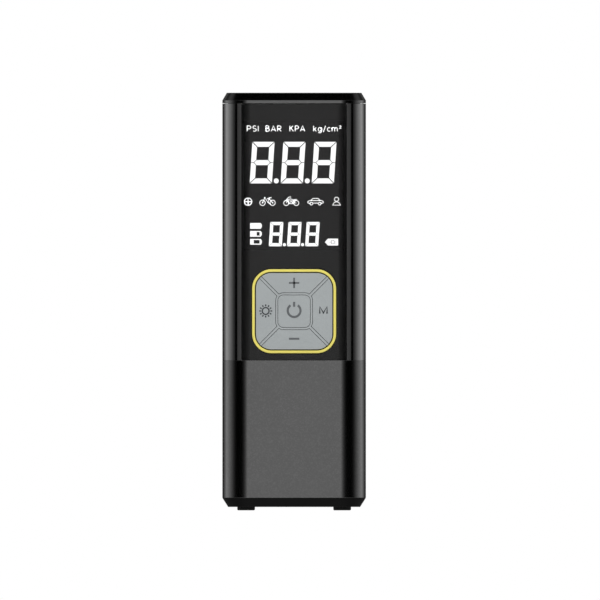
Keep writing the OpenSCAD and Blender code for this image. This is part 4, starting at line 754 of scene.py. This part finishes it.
plus = [line((-2.0, SIDE - 0.05), (2.0, SIDE - 0.05)), line((0, SIDE - 2.05), (0, SIDE + 1.95))]
mark("mark_plus", plus, 0.7, printed, "key_plus")
mark("mark_minus", [line((-2.0, 0.35 - SIDE), (2.0, 0.35 - SIDE))], 0.75, printed, "key_minus")
letter = word("M", 9.55, 12.9, KEYPAD_Z - 1.2, KEYPAD_Z + 2.05, 0.58, **PRINT)
piece("mark_mode", [letter], dark_print, "key_mode")
SUN_R, RAY_START, RAY_END, RAYS = 1.3, 1.8, 2.5, 12
starts, ends = (bowl(-SIDE, 0.1, r, r, 0, 360 - 360 / RAYS, RAYS) for r in (RAY_START, RAY_END))
rays = [line(start, end) for start, end in zip(starts, ends)]
mark("mark_light", [ring(-SIDE, 0.1, SUN_R), *rays], 0.48, dark_print, "key_light")
POWER_R, POWER_GAP = 2.45, 35
open_ring = line(bowl(0, 0.25, POWER_R, POWER_R, 90 + POWER_GAP, 450 - POWER_GAP, 40))
mark("mark_power", [open_ring, line((0, 1.7), (0, 3.6))], 0.85, printed, "key_power")

# ---------- top cap and lamp ----------
# A moulded ABS lid in the same satin lacquer closes the case. The hose screws into the brass
# outlet in its middle, and a clear window before it covers three lamps on a white board.
eased("top_cap", 0.15, lacquered("satin_lacquer_cap", "#6c6c6c", 0.17))
# Polycarbonate, clear and polished: a bright pane, a little cool.
dress(see_through("polycarbonate_clear", "#f4f6f7", 0.05, 1.58), "lamp_lens")
# White solder mask: chalky and bright, so that the board throws the lamps' light up.
dress(circuit("solder_mask_white", "#d6d6d1", "#e2e2dd", 0, 1, 2), "lamp_board")
# Heat-proof nylon, moulded: each lamp is a white reflector cup with a square of yellow phosphor in it.
LAMP_Y, LAMP_PITCH, PHOSPHOR = -14.0, 8.0, 1.3
cup = finish("reflector_cup_moulded", "#e4e4de", 0.4, 0.3, 0.003)
x, y, z = add(cup, "SeparateXYZ", {0: add(cup, "TexCoord", {}).outputs["Object"]}).outputs
x = add(cup, "Math", {0: x, 1: LAMP_PITCH / 2 * MM}, operation="PINGPONG").outputs[0]
x = add(cup, "Math", {0: x, 1: PHOSPHOR * MM}, operation="LESS_THAN").outputs[0]
y = add(cup, "Math", {0: y, 1: LAMP_Y * MM, 2: PHOSPHOR * MM}, operation="COMPARE").outputs[0]
gel = add(cup, "Math", {0: x, 1: y}, operation="MULTIPLY").outputs[0]
lay_over(cup, gel, relief=-0.05, Base_Color="#e3cf5e", Roughness=0.25)
dress(cup, "lamp_leds")

# ---------- studio ----------
# A white room: a pale floor, four soft lamps above, and a round tent of cards that only
# reflections see.


def plain_rays(tree):
    """1 for rays from the camera, and for those that a mirror or glass sends on; 0 for soft light."""
    ray = add(tree, "LightPath", {}).outputs
    seen = add(tree, "Math", {0: ray["Is Camera Ray"], 1: ray["Is Glossy Ray"]}, operation="MAXIMUM")
    seen = add(tree, "Math", {0: seen.outputs[0], 1: ray["Is Transmission Ray"]}, operation="MAXIMUM")
    return seen.outputs[0]


# The floor glows a little to the eye, and more far out, where less of the lamps' light falls.
floor_paint = bpy.data.materials.new("floor_white")
floor_paint.use_nodes = True
floor_paint.node_tree.nodes.clear()
away = add(floor_paint, "TexCoord", {}).outputs["Object"]
away = add(floor_paint, "VectorMath", {0: away}, operation="LENGTH").outputs["Value"]
away = add(floor_paint, "MapRange", {0: away, 1: 0.3, 2: 1.6, 3: 0.25, 4: 0.62}).outputs[0]
lift = add(floor_paint, "Math", {0: plain_rays(floor_paint), 1: away}, operation="MULTIPLY").outputs[0]
matte = add(floor_paint, "BsdfDiffuse", {"Color": linear("#e8e8e8")}).outputs[0]
glow = add(floor_paint, "Emission", {"Color": linear("#ffffff"), "Strength": lift}).outputs[0]
both = add(floor_paint, "AddShader", {0: matte, 1: glow}).outputs[0]
add(floor_paint, "OutputMaterial", {"Surface": both})
FLOOR_HALF = 4
corners = [(x * FLOOR_HALF, y * FLOOR_HALF, 0) for x, y in ((-1, -1), (1, -1), (1, 1), (-1, 1))]
floor = built("floor", [(corners, [(0, 1, 2, 3)])], floor_paint)
floor.visible_glossy = False

# The cards of the tent only shine: they are seen in the lacquer, and light nothing.
tent_card = bpy.data.materials.new("tent_cards")
tent_card.use_nodes = True
tent_card.node_tree.nodes.clear()
brightness = add(tent_card, "Attribute", {}, attribute_name="glow").outputs["Fac"]
card = add(tent_card, "Emission", {"Color": linear("#ffffff"), "Strength": brightness}).outputs[0]
add(tent_card, "OutputMaterial", {"Surface": card})
tent_card.cycles.emission_sampling = "NONE"


def along_angle(angle, *stops):
    """Brightness that runs straight between stops, each (angle in degrees, brightness)."""
    return np.interp(angle, *np.transpose(stops))


def tent_glow(turn, rise):
    """Brightness of the tent by the angle round from the front and the angle above the middle, in degrees.
    Level with the object: a card ahead, a gap, a card at the side that grows to its rear edge, a gap, and
    a card behind. Above and below that belt: broad soft cards, brightest ahead. High up: a card behind,
    and a round one on top, with a dark gap ahead."""
    ahead = [(0, 0.9), (4, 0.66), (9, 0.31), (14, 0.14), (19, 0.05), (25, 0), (52, 0)]
    beside = [(60, 0.03), (67, 0.12), (73, 0.24), (79, 0.38), (85, 0.5), (91, 0.66), (98, 0.78), (105, 0.95)]
    edge = [(113, 0.98), (122, 0.5), (133, 0.2), (147, 0.03), (160, 0), (166, 0)]
    behind = [(171, 0.25), (176, 0.63), (180, 0.9)]
    level = along_angle(turn, *ahead, *beside, *edge, *behind)
    below = [(0, 0.55), (30, 0.46), (65, 0.25), (95, 0.3), (125, 0.16), (150, 0.16), (180, 0.34)]
    above = [(0, 0.55), (30, 0.46), (60, 0.2), (75, 0.2), (95, 0.3), (112, 0.2), (130, 0.03), (150, 0.3)]
    broad = np.where(rise > 0, along_angle(turn, *above, (180, 0.45)), along_angle(turn, *below))
    belt = along_angle(rise, (-25, 1), (-10, 0), (12, 0), (28, 1), (40, 1), (50, 0))
    inside = along_angle(rise, (-20, 0), (-9, 1), (13, 1), (20, 0))
    high = along_angle(rise, (42, 0), (52, 0.4)) * along_angle(turn, (105, 0), (145, 1))
    return np.maximum(level * inside + broad * belt + high, along_angle(rise, (74, 0), (80, 0.8)))


# The tent is a ball round the object: its point is radius times (sin t cos r, -cos t cos r, sin r) by
# the angle t round from the front and the angle r above the middle, in steps of 2 degrees.
TENT_RADIUS, MIDDLE_Z = 0.9, 0.08
turn, rise = np.meshgrid(np.linspace(-180, 180, 181), np.linspace(-88, 88, 89), indexing="ij")
t, r = np.radians(turn), np.radians(rise)
points = np.stack([np.sin(t) * np.cos(r), -np.cos(t) * np.cos(r), np.sin(r)], -1)
points = (points * TENT_RADIUS + (0, 0, MIDDLE_Z)).reshape(-1, 3)
rows, m = turn.shape
i, j = np.meshgrid(np.arange(rows - 1), np.arange(m - 1), indexing="ij")
quads = np.stack([i * m + j, i * m + j + 1, (i + 1) * m + j + 1, (i + 1) * m + j], -1).reshape(-1, 4)
tent = built("light_tent", [(points.tolist(), quads.tolist())], tent_card)
glow_at = tent.data.attributes.new("glow", "FLOAT", "POINT")
glow_at.data.foreach_set("value", tent_glow(np.abs(turn), rise).ravel().astype(np.float32))
tent.visible_camera = tent.visible_diffuse = tent.visible_transmission = False
tent.visible_volume_scatter = tent.visible_shadow = False

# Four square lamps, each turned to the object: two ahead and two behind, all 45 degrees up.
LAMP_FAR, LAMP_RISE, LAMP_SIZE, LAMP_WATTS = 1.3, np.radians(45), 0.7, 6.5
for number, turn_at in enumerate((-35, 35, 145, 215)):
    lamp = bpy.data.lights.new(f"softbox_{number}", "AREA")
    lamp.shape, lamp.size, lamp.energy = "SQUARE", LAMP_SIZE, LAMP_WATTS
    made = bpy.data.objects.new(f"softbox_{number}", lamp)
    bpy.context.scene.collection.objects.link(made)
    a, out = np.radians(turn_at), LAMP_FAR * np.cos(LAMP_RISE)
    made.location = (out * np.sin(a), -out * np.cos(a), MIDDLE_Z + LAMP_FAR * np.sin(LAMP_RISE))
    made.rotation_euler = (np.radians(90) - LAMP_RISE, 0, a)
    made.visible_glossy = made.visible_camera = made.visible_transmission = False

# The room is white to the eye and dimmer as light, so that the floor keeps the object's shadow.
world = bpy.data.worlds.new("white_room")
bpy.context.scene.world = world
world.use_nodes = True
world.node_tree.nodes.clear()
level = add(world, "MapRange", {0: plain_rays(world), 3: 0.3, 4: 1.0}).outputs[0]
sky = add(world, "Background", {"Color": linear("#ffffff"), "Strength": level}).outputs[0]
add(world, "OutputWorld", {"Surface": sky})

# ---------- camera ----------
# Square on to the front, a little to one side of the middle, with no perspective. The frame is
# 229.9 mm wide.
view = bpy.data.cameras.new("camera")
view.type = "ORTHO"
view.ortho_scale = 0.2299
view.clip_start, view.clip_end = 0.01, 10
camera = bpy.data.objects.new("camera", view)
bpy.context.scene.collection.objects.link(camera)
camera.location = (0.00225, -0.6, 0.0806)
camera.rotation_euler = (np.radians(90), 0, 0)
bpy.context.scene.camera = camera
bpy.context.scene.view_settings.view_transform = "Standard"
